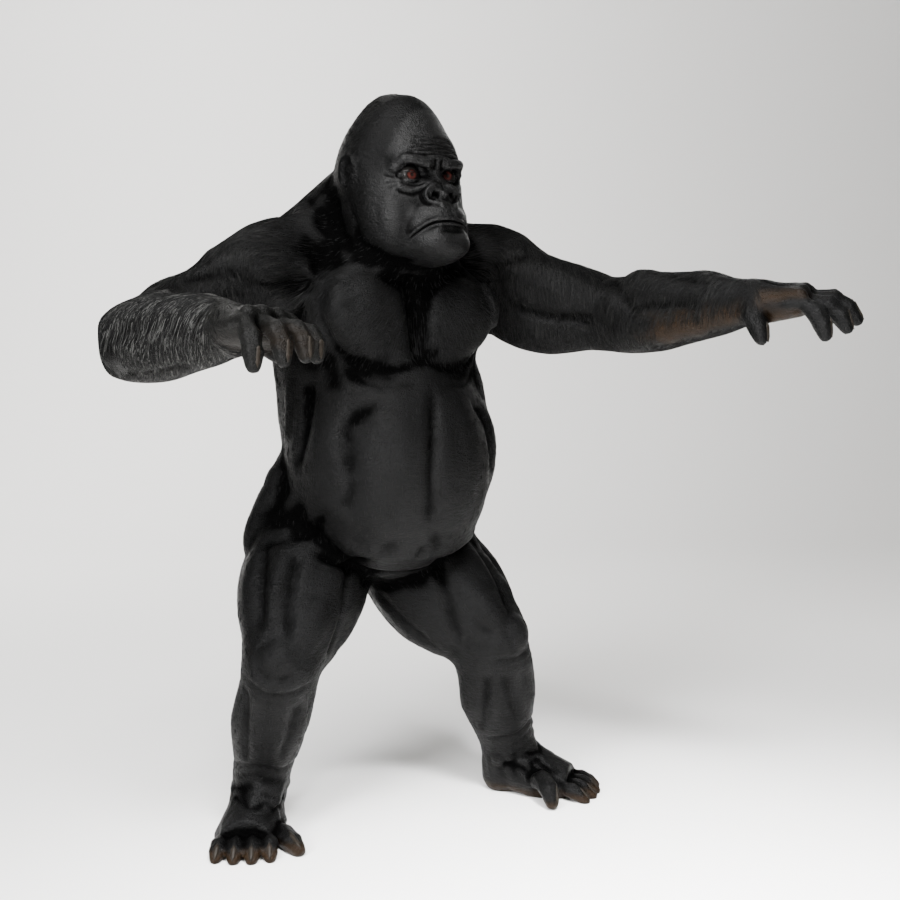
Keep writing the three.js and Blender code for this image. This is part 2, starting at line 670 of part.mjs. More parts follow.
function toeLinks(side, across) {
  const base = [14 + across * TOE_SPAN, 27, 150 - Math.abs(across) * 26];
  const lengths = PHALANGES.map((share) => share * TOE_LENGTH);
  const joints = digitJoints(footFrame[side], base, across * 14, TOE_BEND, lengths);
  return joints.map((joint, i) => [joint, TOE_RADIUS - i * 0.8]);
}

function bigToeLinks(side) {
  const bends = BIG_TOE_BEND[side];
  const height = bends[0] > 0 ? 38 : 26;
  const joints = digitJoints(footFrame[side], [-36, height, 74], -BIG_TOE_SPREAD[side], bends, BIG_TOE_BONES);
  return joints.map((joint, i) => [joint, TOE_RADIUS + 5 - i]);
}

function footSolids(side) {
  const frame = footFrame[side];
  const across = acrossOf(frame);
  const spine = new THREE.CatmullRomCurve3([
    place(frame, [0, 34, -30]),
    place(frame, [0, 40, 30]),
    place(frame, [10, 26, 120]),
  ]);
  const forms = [...footForms(side), ...shinForms(side)];
  const skin = castSkin(forms, spine, UP, { spokes: 12, rings: 6, domeStart: 2, domeEnd: 2, reach: 130 });
  const toeCut = cut(place(frame, [14, 0, 150]), FOOT_DIRECTION[side]);
  let foot = trim(trim(solidOf(skin), ankleCut[side], BEFORE), floorCut, BEFORE);
  foot = trim(foot, toeCut, BEHIND);
  for (const [name, offset] of Object.entries(TOES)) {
    const links = toeLinks(side, offset);
    const toe = trim(trim(digitSolid(links, across, false), toeCut, BEFORE), floorCut, BEFORE);
    addDigit(`${name}_toe_${sideName(side)}`, toe, links, backOf(links, across, -side));
  }
  const links = bigToeLinks(side);
  const bigToe = trim(rootedDigit(links, across), floorCut, BEFORE);
  addDigit(`big_toe_${sideName(side)}`, bigToe, links, backOf(links, across, -side));
  foot = foot.subtract(grown(bigToe, links[1][0]));
  addPart(`foot_${sideName(side)}`, foot, palmLook);
}

// ---------------------------------------------------------------- head, neck, ears and eyes

function headSolids() {
  const faceAxis = new THREE.LineCurve3(place(headFrame, [0, 140, 5]), place(headFrame, [0, 62, -25]));
  const forms = [...headForms, ...neckForms];
  const skin = castSkin(forms, faceAxis, UP, { spokes: 32, rings: 3, domeStart: 3, domeEnd: 12, reach: 260 });
  let head = trim(solidOf(skin), headCut, BEFORE);
  for (const side of [LEFT, RIGHT]) {
    const centre = place(headFrame, [(side * EYE_SPACING) / 2, EYE_DEPTH, 0]);
    const ball = (radius) => {
      const sphere = new THREE.SphereGeometry(radius, 10, 6);
      return solidOf(sphere.translate(centre.x, centre.y, centre.z));
    };
    addPart(`eye_${sideName(side)}`, ball(EYE_RADIUS), eyeLook);
    head = head.subtract(ball(EYE_RADIUS + 0.8));
    const earSeat = grown(head, place(headFrame, [0, 130, 0]), 1.005);
    addPart(`ear_${sideName(side)}`, earSolid(side).subtract(earSeat), faceLook);
  }
  addPart("head", head, faceLook);
}

// An ear is a small flat cup on the side of the skull.
function earSolid(side) {
  const forms = [
    lump(headFrame, [side * 118, 130, 14], [12, 22, 36]),
    lump(headFrame, [side * 132, 122, 16], [10, 12, 24], { blend: 6, hollow: true }),
  ];
  const at = (z) => place(headFrame, [side * 114, 132, z]);
  const spine = new THREE.LineCurve3(at(-6), at(34));
  const options = { spokes: 10, rings: 3, domeStart: 1, domeEnd: 1, reach: 60 };
  return solidOf(castSkin(forms, spine, point(0, -1, 0), options));
}

const belly = trunkSolids();
neckSolid();
headSolids();
for (const side of [LEFT, RIGHT]) {
  armSolids(side);
  handSolids(side);
  legSolids(side, belly);
  footSolids(side);
}

// The origin goes to the floor point under the middle of the bounding box.
const bounds = new THREE.Box3().setFromObject(body);
const middle = bounds.getCenter(point(0, 0, 0));
body.position.set(-middle.x, -middle.y, -bounds.min.z);

export default gorilla;
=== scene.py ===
# %% [markdown]
# # A gorilla: skin, hair, eyes and nails
#
# The frame holds plain faceted solids, one for each named part of the animal. They give the true size
# and stance. This notebook melts the solids of flesh into one continuous skin, models the muscles,
# folds and wrinkles on it, and adds the eyes, the nails and the short flat hair.

# %% Load the frame
import math

import bpy
import numpy as np
from mathutils import Matrix, Vector
from mathutils.bvhtree import BVHTree


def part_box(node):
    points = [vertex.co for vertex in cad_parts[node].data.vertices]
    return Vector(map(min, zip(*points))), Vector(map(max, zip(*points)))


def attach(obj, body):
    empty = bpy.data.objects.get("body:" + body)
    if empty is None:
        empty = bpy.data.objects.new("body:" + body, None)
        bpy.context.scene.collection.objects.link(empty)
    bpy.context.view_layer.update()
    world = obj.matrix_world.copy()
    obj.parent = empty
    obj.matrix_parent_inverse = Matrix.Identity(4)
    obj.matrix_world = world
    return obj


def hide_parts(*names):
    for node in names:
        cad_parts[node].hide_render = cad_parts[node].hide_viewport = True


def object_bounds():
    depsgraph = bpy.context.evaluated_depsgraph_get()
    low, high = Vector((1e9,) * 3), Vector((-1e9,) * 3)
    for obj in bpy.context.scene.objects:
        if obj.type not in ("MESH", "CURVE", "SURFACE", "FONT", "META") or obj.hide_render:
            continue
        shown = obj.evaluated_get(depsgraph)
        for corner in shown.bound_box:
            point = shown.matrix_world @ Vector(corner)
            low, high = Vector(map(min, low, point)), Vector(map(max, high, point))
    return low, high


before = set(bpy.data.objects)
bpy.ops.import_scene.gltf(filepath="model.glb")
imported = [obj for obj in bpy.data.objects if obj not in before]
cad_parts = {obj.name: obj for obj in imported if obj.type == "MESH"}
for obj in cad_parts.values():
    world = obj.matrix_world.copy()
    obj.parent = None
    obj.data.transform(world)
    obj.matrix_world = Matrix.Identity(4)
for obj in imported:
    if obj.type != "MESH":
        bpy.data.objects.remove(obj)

cad_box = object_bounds()
bpy.ops.object.select_all(action="DESELECT")
print("box of the solids:", [[round(v, 3) for v in corner] for corner in cad_box])

# %% [markdown]
# ## The skeleton as named places
#
# A muscle or a fold is easiest to place along a bone, so the joints get names. They are given in
# millimetres from a point under the middle of the animal, and `place` turns them into the frame's
# metres. The two eyes are known in both, so they tie the two together.

# %% The head's own directions
LEFT, RIGHT = 1, -1
HEAD_TURN = math.radians(8)
EYE_MIDDLE = np.array([22.0, -204.0, 1407.0])
EYE_DEPTH = 13.0


def head_to_body(left, back, above):
    """A place in the head, in millimetres left, back and above the point between the eyes."""
    c, s = math.cos(HEAD_TURN), math.sin(HEAD_TURN)
    return EYE_MIDDLE + np.array([left * c - back * s, left * s + back * c, above])


eye_boxes = [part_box("eye_left"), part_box("eye_right")]
eyes_found = np.mean([corner for box in eye_boxes for corner in box], axis=0)
ORIGIN = eyes_found - head_to_body(0, EYE_DEPTH, 0) / 1000


def place(x, y, z):
    return np.array([x, y, z]) / 1000 + ORIGIN


def in_head(left, back, above):
    return head_to_body(left, back, above) / 1000 + ORIGIN


print("origin:", [round(v, 4) for v in ORIGIN])

# %% The joints
MIDLINE = place(12, 0, 0)[0]
JOINTS = {
    "shoulder": {LEFT: place(284, 30, 1249), RIGHT: place(-250, 30, 1212)},
    "elbow": {LEFT: place(492, -263, 1122), RIGHT: place(-560, -10, 1060)},
    "wrist": {LEFT: place(520, -622, 1142), RIGHT: place(-468, -344, 1078)},
    "hip": {LEFT: place(98, 85, 618), RIGHT: place(-108, 72, 632)},
    "knee": {LEFT: place(236, -92, 383), RIGHT: place(-279, -85, 388)},
    "ankle": {LEFT: place(325, -26, 95), RIGHT: place(-281, 38, 97)},
}
HAND_DIRECTION = {LEFT: (0.58, -0.81, 0), RIGHT: (0.28, -0.955, 0.07)}
PALM_FACING = {LEFT: (0.11, 0.08, -0.98), RIGHT: (-0.13, 0, -0.99)}
FOOT_DIRECTION = {LEFT: (0.67, -0.74, 0), RIGHT: (-0.46, -0.888, 0)}
BICEPS_SIDE = {LEFT: (-0.2, -0.15, 0.9), RIGHT: (0.1, -1, 0.15)}
HAND_LENGTH, FOOT_LENGTH = 0.11, 0.15
print("joints:", list(JOINTS))

# %% The limbs


def unit(v):
    v = np.asarray(v, float)
    return v / np.linalg.norm(v, axis=-1, keepdims=True)


def limb_frame(origin, along, front, side):
    """Rows: away from the body's middle, the limb's front, along the limb."""
    z = unit(along)
    front = np.asarray(front, float)
    y = unit(front - z * front.dot(z))
    x = np.cross(y, z) * side
    length = float(np.linalg.norm(along))
    return {"origin": np.asarray(origin), "axes": np.array([x, y, z]), "length": length}


LIMBS = {}
for side in (LEFT, RIGHT):
    j = {name: at[side] for name, at in JOINTS.items()}
    knee_front = j["knee"] - (j["hip"] + j["ankle"]) / 2
    hand_way, foot_way = np.array(HAND_DIRECTION[side]), np.array(FOOT_DIRECTION[side])
    knee_front = knee_front + np.linalg.norm(knee_front) * foot_way
    LIMBS["upper_arm", side] = limb_frame(j["shoulder"], j["elbow"] - j["shoulder"], BICEPS_SIDE[side], side)
    LIMBS["forearm", side] = limb_frame(j["elbow"], j["wrist"] - j["elbow"], (0, 0, -1), side)
    LIMBS["hand", side] = limb_frame(j["wrist"], HAND_LENGTH * hand_way, PALM_FACING[side], side)
    LIMBS["thigh", side] = limb_frame(j["hip"], j["knee"] - j["hip"], knee_front, side)
    LIMBS["shin", side] = limb_frame(j["knee"], j["ankle"] - j["knee"], knee_front, side)
    heel = j["ankle"] * np.array([1, 1, 0])
    LIMBS["foot", side] = limb_frame(heel, FOOT_LENGTH * foot_way, (0, 0, 1), side)


def in_limb(limb, points):
    """Points as the limb sees them: lateral, front and along, in metres."""
    return (points - limb["origin"]) @ limb["axes"].T


print("limbs:", len(LIMBS))

# %% [markdown]
# ## Camera
#
# The animal is seen a little from its right, from chest height, through a normal lens. A camera low
# and near enough to keep the heavy body above the eye line makes it look as big as it is.

# %% Camera
CAMERA_SPOT = (-1264, -2503, 1020)
CAMERA_DOWN, CAMERA_TURN = 4, -30
camera_data = bpy.data.cameras.new("camera")
camera_data.lens = 50
camera_data.sensor_width = 36
camera = bpy.data.objects.new("camera", camera_data)
bpy.context.scene.collection.objects.link(camera)
camera.location = place(*CAMERA_SPOT)
camera.rotation_euler = (math.radians(90 - CAMERA_DOWN), 0, math.radians(CAMERA_TURN))
bpy.context.scene.camera = camera
print("camera at", [round(v, 3) for v in camera.location])

# %% [markdown]
# ## Studio
#
# Black hide shows its form only through what it reflects. Large soft lights give it long gentle
# highlights: the largest hangs above and in front, a cool one stands at the viewer's left, a weak one
# at the right fills the shadows, and a faint one behind lifts the edge. Two more light the paper alone,
# one the wall and one the floor in front, because a pale room round a black animal needs far more
# light than the animal can take. The floor runs up into the wall in one curve, so that no line cuts
# the background.
#
# The small functions come first. Colours are written as hex values, which a shader can't use as they
# are, and every node of every material is added by the same few lines.

# %% Colours and nodes


def srgb(hex_colour):
    """A hex colour as the linear value that a shader wants."""
    parts = [int(hex_colour[i:i + 2], 16) / 255 for i in (1, 3, 5)]
    linear = [c / 12.92 if c <= 0.04045 else ((c + 0.055) / 1.055) ** 2.4 for c in parts]
    return (*linear, 1)


def add_node(material, kind, links=None, stops=(), **settings):
    """Adds a node. Links joins outputs to its sockets, and stops are a ramp's places and hex colours.

    A setting named like one of the node's sockets sets that socket, any other the node itself.
    The stops go from low to high, because the ramp keeps its elements in that order.
    """
    node = material.node_tree.nodes.new(kind)
    for index, (place_at, colour) in enumerate(stops):
        elements = node.color_ramp.elements
        element = elements[index] if index < 2 else elements.new(1)
        element.position, element.color = place_at, srgb(colour)
    for name, value in settings.items():
        socket = node.inputs.get(name.replace("_", " "))
        if socket is not None:
            socket.default_value = value
        else:
            setattr(node, name, value)
    for name, output in (links or {}).items():
        material.node_tree.links.new(output, node.inputs[name])
    return node


def new_material(name, **settings):
    """A material with a Principled shader, whose constants are set on the shader's own sockets."""
    material = bpy.data.materials.new(name)
    material.use_nodes = True
    shader = material.node_tree.nodes["Principled BSDF"]
    for key, value in settings.items():
        shader.inputs[key.replace("_", " ")].default_value = value
    return material, shader


print("mid grey is", round(srgb("#808080")[0], 3), "in linear light")

# %% Floor and wall
FLOOR_SIZE, WALL_HEIGHT, COVE_RADIUS = 14, 9, 4
BACK_EDGE = FLOOR_SIZE / 2 - 0.1
bpy.ops.mesh.primitive_plane_add(size=FLOOR_SIZE, location=(0, 1.5, 0))
backdrop = bpy.context.object
backdrop.name = "backdrop"


def select_back_edges(also):
    """Selects the edges at the back whose ends pass the test, and stays in edit mode."""
    bpy.ops.object.mode_set(mode="EDIT")
    bpy.ops.mesh.select_all(action="DESELECT")
    bpy.ops.object.mode_set(mode="OBJECT")
    for edge in backdrop.data.edges:
        ends = [backdrop.data.vertices[v].co for v in edge.vertices]
        edge.select = all(co.y > BACK_EDGE and also(co) for co in ends)
    bpy.ops.object.mode_set(mode="EDIT")
    bpy.ops.mesh.select_mode(type="EDGE")


select_back_edges(lambda co: True)
bpy.ops.mesh.extrude_region_move(TRANSFORM_OT_translate={"value": (0, 0, WALL_HEIGHT)})
select_back_edges(lambda co: abs(co.z) < 0.01)
bpy.ops.mesh.bevel(offset=COVE_RADIUS, segments=24)
bpy.ops.object.mode_set(mode="OBJECT")
backdrop.rotation_euler.z = math.radians(CAMERA_TURN)
bpy.ops.object.transform_apply(location=True, rotation=True, scale=True)
bpy.ops.object.shade_smooth()
# Matt paper has no highlight, so nothing in it draws the eye.
paper, paper_shader = new_material("matt paper", Base_Color=srgb("#f0efed"), Roughness=0.85)
backdrop.data.materials.append(paper)
bpy.ops.object.select_all(action="DESELECT")
print("backdrop:", len(backdrop.data.polygons), "faces")

# %% Lights
MIDDLE = Vector((0.0, 0.15, 0.85))


def soft_light(name, location, size, watts, colour, target=MIDDLE, spread=180):
    """A round soft light of a size in metres, turned to its target; spread is its cone in degrees."""
    data = bpy.data.lights.new(name, "AREA")
    data.shape = "DISK"
    data.size = size
    data.energy = watts
    data.color = colour
    data.spread = math.radians(spread)
    light = bpy.data.objects.new(name, data)
    bpy.context.scene.collection.objects.link(light)
    light.location = location
    light.rotation_euler = (target - light.location).to_track_quat("-Z", "Y").to_euler()
    return light


soft_light("overhead", Vector((-1.6, -1.2, 3.8)), 2.6, 420, (1, 0.99, 0.98))
soft_light("front_left", Vector((-3.3, -1.7, 2.1)), 1.3, 310, (0.97, 0.98, 1))
soft_light("front_right", Vector((1.6, -3.4, 2.2)), 1.6, 32, (1, 0.99, 0.97))
soft_light("rim", Vector((2.8, 2.2, 2.6)), 1.8, 12, (1, 1, 1))
soft_light("wall", Vector((-0.7, 3.8, 4.6)), 3.0, 560, (1, 0.99, 0.98), Vector((0.9, 7.5, 2.0)))
soft_light("floor", Vector((-0.6, -2.4, 3.4)), 1.0, 110, (0.99, 0.99, 1), Vector((0.0, -1.1, 0.0)), 46)

# The pale room itself is the weakest light. It keeps the deepest folds from going black.
world = bpy.data.worlds.new("studio")
bpy.context.scene.world = world
world.use_nodes = True
world.node_tree.nodes["Background"].inputs["Color"].default_value = srgb("#dededc")
world.node_tree.nodes["Background"].inputs["Strength"].default_value = 0.25

# %% [markdown]
# ## One skin from many solids
#
# A real hide has no seams. The solids of flesh are copied, swollen by about a millimetre so that they
# meet, and melted into one surface with a voxel remesh. Eyes and nails stay out of it. The mesh that a
# remesh leaves is even, which is what smoothing and sculpting need.

# %% Melt the solids together
VOXEL = 0.0035
SWELL = 0.0012
SAME_CORNER = 1e-5


def join_copies(names, new_name):
    """One object from copies of the frame's solids, with the corners that lie together merged."""
    bpy.ops.object.select_all(action="DESELECT")
    for name in names:
        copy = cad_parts[name].copy()
        copy.data = copy.data.copy()
        copy.parent = None
        bpy.context.scene.collection.objects.link(copy)
        copy.select_set(True)
        bpy.context.view_layer.objects.active = copy
    bpy.ops.object.join()
    joined = bpy.context.object
    joined.name = new_name
    joined.data.materials.clear()
    bpy.ops.object.mode_set(mode="EDIT")
    bpy.ops.mesh.select_all(action="SELECT")
    bpy.ops.mesh.remove_doubles(threshold=SAME_CORNER)
    bpy.ops.object.mode_set(mode="OBJECT")
    return joined


def apply_modifier(piece, kind, **settings):
    """Adds a modifier with its settings and applies it at once."""
    modifier = piece.modifiers.new(kind.lower(), kind)
    for key, value in settings.items():
        setattr(modifier, key, value)
    bpy.context.view_layer.objects.active = piece
    bpy.ops.object.modifier_apply(modifier=modifier.name)


flesh = [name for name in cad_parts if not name.startswith("eye") and "_nail_" not in name]
skin = join_copies(flesh, "skin")
apply_modifier(skin, "DISPLACE", strength=SWELL, mid_level=0)
apply_modifier(skin, "REMESH", mode="VOXEL", voxel_size=VOXEL)
print("skin after the remesh:", len(skin.data.vertices), "vertices")

# %% [markdown]
# ## Smooth, but not everywhere alike
#
# The facets of the trunk are wide and need a broad smoothing, while lips, fingers and ears would melt
# under it. So the width of the smoothing is a value at each vertex. Plain smoothing also shrinks a
# round form, so what it took away is smoothed in its turn and put back.
#
# All of this is sums over the mesh's edges, which numpy does for every vertex at once. `fade` is the
# soft step between two values that the rest of the notebook leans on.

# %% Reading and writing the mesh


def read_vertices(mesh):
    flat = np.empty(len(mesh.vertices) * 3)
    mesh.vertices.foreach_get("co", flat)
    return flat.reshape(-1, 3)


def write_vertices(mesh, points):
    mesh.vertices.foreach_set("co", points.ravel())
    mesh.update()


def read_normals(mesh):
    flat = np.empty(len(mesh.vertices) * 3)
    mesh.vertex_normals.foreach_get("vector", flat)
    return flat.reshape(-1, 3)


def read_edges(mesh):
    flat = np.empty(len(mesh.edges) * 2, dtype=np.int64)
    mesh.edges.foreach_get("vertices", flat)
    return flat.reshape(-1, 2)


def smoothed(values, edges, strength, rounds):
    """Each round moves every value towards the mean of its neighbours by the strength there."""
    a, b = edges.T
    count = len(values)
    neighbours = np.bincount(a, minlength=count) + np.bincount(b, minlength=count)
    neighbours = np.maximum(neighbours, 1)
    values = values.copy()
    for _ in range(rounds):
        for k in range(values.shape[1]):
            v = values[:, k]
            total = np.bincount(a, weights=v[b], minlength=count)
            total += np.bincount(b, weights=v[a], minlength=count)
            values[:, k] = v + strength * (total / neighbours - v)
    return values


def fade(x, start, end):
    """0 before start, 1 after end, an S between them. Start may be the larger one."""
    t = np.clip((x - start) / (end - start), 0, 1)
    return t * t * (3 - 2 * t)


print("a fade from 0 to 1:", [round(float(fade(x, 0, 1)), 2) for x in (0, 0.25, 0.5, 0.75, 1)])

# %% Regions of the body


def head_coordinates(points):
    """Millimetres left, back and above the point between the eyes."""
    p = (points - ORIGIN) * 1000 - EYE_MIDDLE
    c, s = math.cos(HEAD_TURN), math.sin(HEAD_TURN)
    return np.stack([p[:, 0] * c + p[:, 1] * s, -p[:, 0] * s + p[:, 1] * c, p[:, 2]], axis=1)


def region_masks(points):
    """How far each point belongs to the face, the head, the hands and the feet, from 0 to 1."""
    h = head_coordinates(points)
    reach = np.linalg.norm(h - [0, 10, -50], axis=1)
    face = fade(reach, 150, 110) * fade(h[:, 1], 110, 60)
    head = fade(np.linalg.norm((h - [0, 110, 10]) / [1, 1.25, 1.35], axis=1), 175, 140)
    ear = sum(fade(np.linalg.norm(h - [s * 118, 130, 14], axis=1), 60, 42) for s in (LEFT, RIGHT))
    hand = np.zeros(len(points))
    palm = np.zeros(len(points))
    foot = np.zeros(len(points))
    brow = fade(h[:, 2] + h[:, 0] ** 2 * 0.011, 146, 136) * fade(h[:, 2], 0, 20) * fade(h[:, 1], 62, 50)
    brow = brow * fade(np.abs(h[:, 0]), 92, 84)
    for side in (LEFT, RIGHT):
        q = in_limb(LIMBS["hand", side], points)
        near = fade(np.linalg.norm(q - [0, 0, 0.1], axis=1), 0.2, 0.17)
        hand = np.maximum(hand, fade(q[:, 2], -0.02, 0.03) * near)
        palm = np.maximum(palm, fade(q[:, 2], -0.02, 0.03) * fade(q[:, 2], 0.142, 0.116) * near)
        q = in_limb(LIMBS["foot", side], points)
        near = fade(np.linalg.norm(q - [0, 0, 0.1], axis=1), 0.24, 0.2)
        foot = np.maximum(foot, fade(q[:, 1], 0.13, 0.09) * near)
    return {"face": face, "head": np.maximum(head, face), "ear": np.clip(ear, 0, 1), "hand": hand,
            "palm": palm, "foot": foot, "brow": brow}


points = read_vertices(skin.data)
masks = region_masks(points)
print("vertices in each region:", {name: int((mask > 0.5).sum()) for name, mask in masks.items()})

# %% Smooth the skin
BODY_WIDTH, HEAD_WIDTH, FACE_WIDTH, DIGIT_WIDTH, PALM_WIDTH = 0.018, 0.012, 0.008, 0.0045, 0.013
SOLE = 0.0003
edges = read_edges(skin.data)
width = np.full(len(points), BODY_WIDTH)
digits = np.maximum(masks["hand"], masks["foot"])
for mask, own_width in ((masks["head"], HEAD_WIDTH), (masks["face"], FACE_WIDTH), (digits, DIGIT_WIDTH),
                        (masks["palm"], PALM_WIDTH)):
    width = width + (own_width - width) * mask
rounds = int(2 * (BODY_WIDTH / VOXEL) ** 2)
strength = np.clip((width / BODY_WIDTH) ** 2, 0, 1)
strength = smoothed(strength[:, None], edges, 0.9, 6)[:, 0]
soft = smoothed(points, edges, strength, rounds)
points = soft + smoothed(points - soft, edges, strength, rounds)
points[:, 2] = np.maximum(points[:, 2], SOLE)
write_vertices(skin.data, points)
print("smoothing rounds:", rounds)

# %% [markdown]
# ## Modelling tools
#
# Three strokes are enough for a body. A groove follows a line and sinks or lifts it, a plate raises all
# that lies inside an outline, as a flat muscle does, and a mound raises an oval. Lines are drawn in the
# body's own terms: round a limb and along it, round the trunk and up it, or in the head's millimetres.
# A ray cast outwards from the bone finds each point on the skin.

# %% Lines on the skin
TRUNK_FOOT, TRUNK_TOP = place(12, 20, 620), place(12, 40, 1230)


def skin_tree():
    """The skin as it stands now, for casting rays on."""
    bpy.context.view_layer.update()
    return BVHTree.FromObject(skin, bpy.context.evaluated_depsgraph_get())


def cast(tree, origin, direction, reach=0.4):
    hit = tree.ray_cast(Vector(origin), Vector(direction), reach)[0]
    return np.array(hit) if hit is not None else None


def spot(tree, where, side, u, v, w=None):
    """The place on the skin of (angle, height) on the trunk or (angle, share) on a limb.

    Three numbers are millimetres in the head or limb, and give the nearest point of the skin.
    """
    if where == "head":
        return np.array(tree.find_nearest(Vector(in_head(side * u, v, w)))[0])
    if w is not None:
        limb = LIMBS[where, side]
        at = limb["origin"] + np.array([u, v, w]) / 1000 @ limb["axes"]
        return np.array(tree.find_nearest(Vector(at))[0])
    turn = math.radians(u)
    if where == "trunk":
        height = place(0, 0, v)[2]
        share = (height - TRUNK_FOOT[2]) / (TRUNK_TOP[2] - TRUNK_FOOT[2])
        origin = TRUNK_FOOT + (TRUNK_TOP - TRUNK_FOOT) * share
        return cast(tree, origin, (side * math.sin(turn), -math.cos(turn), 0))
    limb = LIMBS[where, side]
    x, y, z = limb["axes"]
    return cast(tree, limb["origin"] + z * v * limb["length"], x * math.sin(turn) + y * math.cos(turn))


def curve_through(spots, steps=6):
    """A smooth line through the spots, as Catmull and Rom draw it."""
    spots = np.array(spots, float)
    if len(spots) == 1:
        return spots
    line = np.vstack([2 * spots[0] - spots[1], spots, 2 * spots[-1] - spots[-2]])
    out = []
    for i in range(1, len(line) - 2):
        a, b, c, d = line[i - 1:i + 3]
        for k in range(steps):
            t = k / steps
            out.append(0.5 * (2 * b + (c - a) * t + (2 * a - 5 * b + 4 * c - d) * t**2
                              + (3 * b - a - 3 * c + d) * t**3))
    return np.array(out + [line[-2]])


def trace(tree, where, side, spots, steps=6):
    found = [spot(tree, where, side, *s) for s in curve_through(spots, steps)]
    return np.array([p for p in found if p is not None])


def distance_to(line, points, reach):
    """For the points within reach of the line: their indices, distance and place along it, 0 to 1."""
    low, high = line.min(axis=0) - reach, line.max(axis=0) + reach
    near = np.flatnonzero(np.all((points > low) & (points < high), axis=1))
    p = points[near]
    best = np.full(len(near), np.inf)
    along = np.zeros(len(near))
    if len(line) == 1:
        return near, np.linalg.norm(p - line[0], axis=1), along
    lengths = np.linalg.norm(np.diff(line, axis=0), axis=1)
    start = np.concatenate([[0], np.cumsum(lengths)])
    for i, length in enumerate(lengths):
        if length < 1e-7:
            continue
        d = (line[i + 1] - line[i]) / length
        t = np.clip((p - line[i]) @ d, 0, length)
        gap = np.linalg.norm(p - line[i] - t[:, None] * d, axis=1)
        closer = gap < best
        best[closer] = gap[closer]
        along[closer] = (start[i] + t[closer]) / start[-1]
    return near, best, along


chest_line = trace(skin_tree(), "trunk", LEFT, [(-7, 1215), (-1, 1000)])
print("a line down the chest, traced in", len(chest_line), "points")

# %% Clay


class Clay:
    """Collects how far each vertex is to move along its normal, then moves them all at once."""

    def __init__(self, strength=1.0):
        self.strength = strength
        self.points = read_vertices(skin.data)
        self.normals = read_normals(skin.data)
        self.lift = np.zeros(len(self.points))
        self.tree = skin_tree()

    def groove(self, where, side, spots, width, depth, taper=0.18, sharp=2.0):
        """Width and depth in millimetres; a negative depth is a ridge. Sharp 1 is a crease, 2 a valley."""
        line = trace(self.tree, where, side, spots)
        near, gap, along = distance_to(line, self.points, width * 0.003)
        ends = fade(along, 0, taper) * fade(along, 1, 1 - taper) if taper else 1
        shape = np.exp(-(gap / (width * 0.001)) ** sharp)
        self.lift[near] -= depth * shape * ends

    def plate(self, where, side, outline, height, edge):
        """Raises the inside of an outline by the height, over the edge's width in millimetres."""
        line = trace(self.tree, where, side, list(outline) + [outline[0]], 5)
        near, gap, _ = distance_to(line, self.points, 0.09)
        p = self.points[near]
        if where == "trunk":
            share = (p[:, 2] - TRUNK_FOOT[2]) / (TRUNK_TOP[2] - TRUNK_FOOT[2])
            middle = TRUNK_FOOT + share[:, None] * (TRUNK_TOP - TRUNK_FOOT)
            u = np.degrees(np.arctan2((p[:, 0] - middle[:, 0]) * side, -(p[:, 1] - middle[:, 1])))
            v = (p[:, 2] - ORIGIN[2]) * 1000
        else:
            limb = LIMBS[where, side]
            q = in_limb(limb, p)
            u = np.degrees(np.arctan2(q[:, 0], q[:, 1]))
            v = q[:, 2] / limb["length"]
            onto = np.hypot(q[:, 0], q[:, 1]) < 0.2
            v = np.where(onto, v, 1e6)
        poly = curve_through(list(outline) + [outline[0]], 5)
        centre = poly[:, 0].mean()
        u = (u - centre + 180) % 360 - 180 + centre
        inside = np.zeros(len(p), bool)
        for (u0, v0), (u1, v1) in zip(poly[:-1], poly[1:]):
            if v0 == v1:
                continue
            crosses = (v0 > v) != (v1 > v)
            inside ^= crosses & (u < (u1 - u0) * (v - v0) / (v1 - v0) + u0)
        rise = 1 - np.exp(-(gap / (edge * 0.001)) ** 1.5)
        self.lift[near] += np.where(inside, height * rise, 0)

    def mound(self, where, side, centre, radii, height, turn=0.0, power=1.5):
        """Raises an oval: radii in millimetres along the limb and round it, turned by degrees."""
        at = spot(self.tree, where, side, *centre)
        step = (0, 0, 6) if len(centre) == 3 else ((0, 12) if where == "trunk" else (0, 0.06))
        ahead = spot(self.tree, where, side, *[c + s for c, s in zip(centre, step)])
        index = self.tree.find_nearest(Vector(at))
        normal = np.array(index[1])
        along = unit(ahead - at)
        along = unit(along - normal * along.dot(normal))
        across = np.cross(normal, along) * side
        c, s = math.cos(math.radians(turn)), math.sin(math.radians(turn))
        along, across = along * c + across * s, across * c - along * s
        reach = max(radii) * 0.001
        near = np.flatnonzero(np.linalg.norm(self.points - at, axis=1) < reach * 1.3)
        p = self.points[near] - at
        r2 = (p @ along / (radii[0] * 0.001)) ** 2 + (p @ across / (radii[1] * 0.001)) ** 2
        facing = fade(self.normals[near] @ normal, -0.1, 0.4)
        self.lift[near] += height * np.clip(1 - r2, 0, 1) ** power * facing

    def settle(self, rounds=2, strength=0.5):
        """Moves the vertices and smooths the move itself a little, so that no edge is ragged."""
        lift = smoothed(self.lift[:, None], read_edges(skin.data), strength, rounds)
        points = self.points + self.normals * lift * self.strength * 0.001
        points[:, 2] = np.maximum(points[:, 2], SOLE)
        write_vertices(skin.data, points)
        print("furthest move:", round(float(np.abs(lift).max() * self.strength), 1), "mm")


print("strokes:", [name for name in vars(Clay) if not name.startswith("_")])


# %% [markdown]
# ## Muscles
#
# The trunk first: the two chest muscles with their sharp lower border, the long valley down the belly
# and the ones that flank it. Then the arms and legs, each muscle inside its own outline. On the trunk a
# spot is (degrees from the front, millimetres above the ground), on a limb (degrees from its front,
# share of its length).

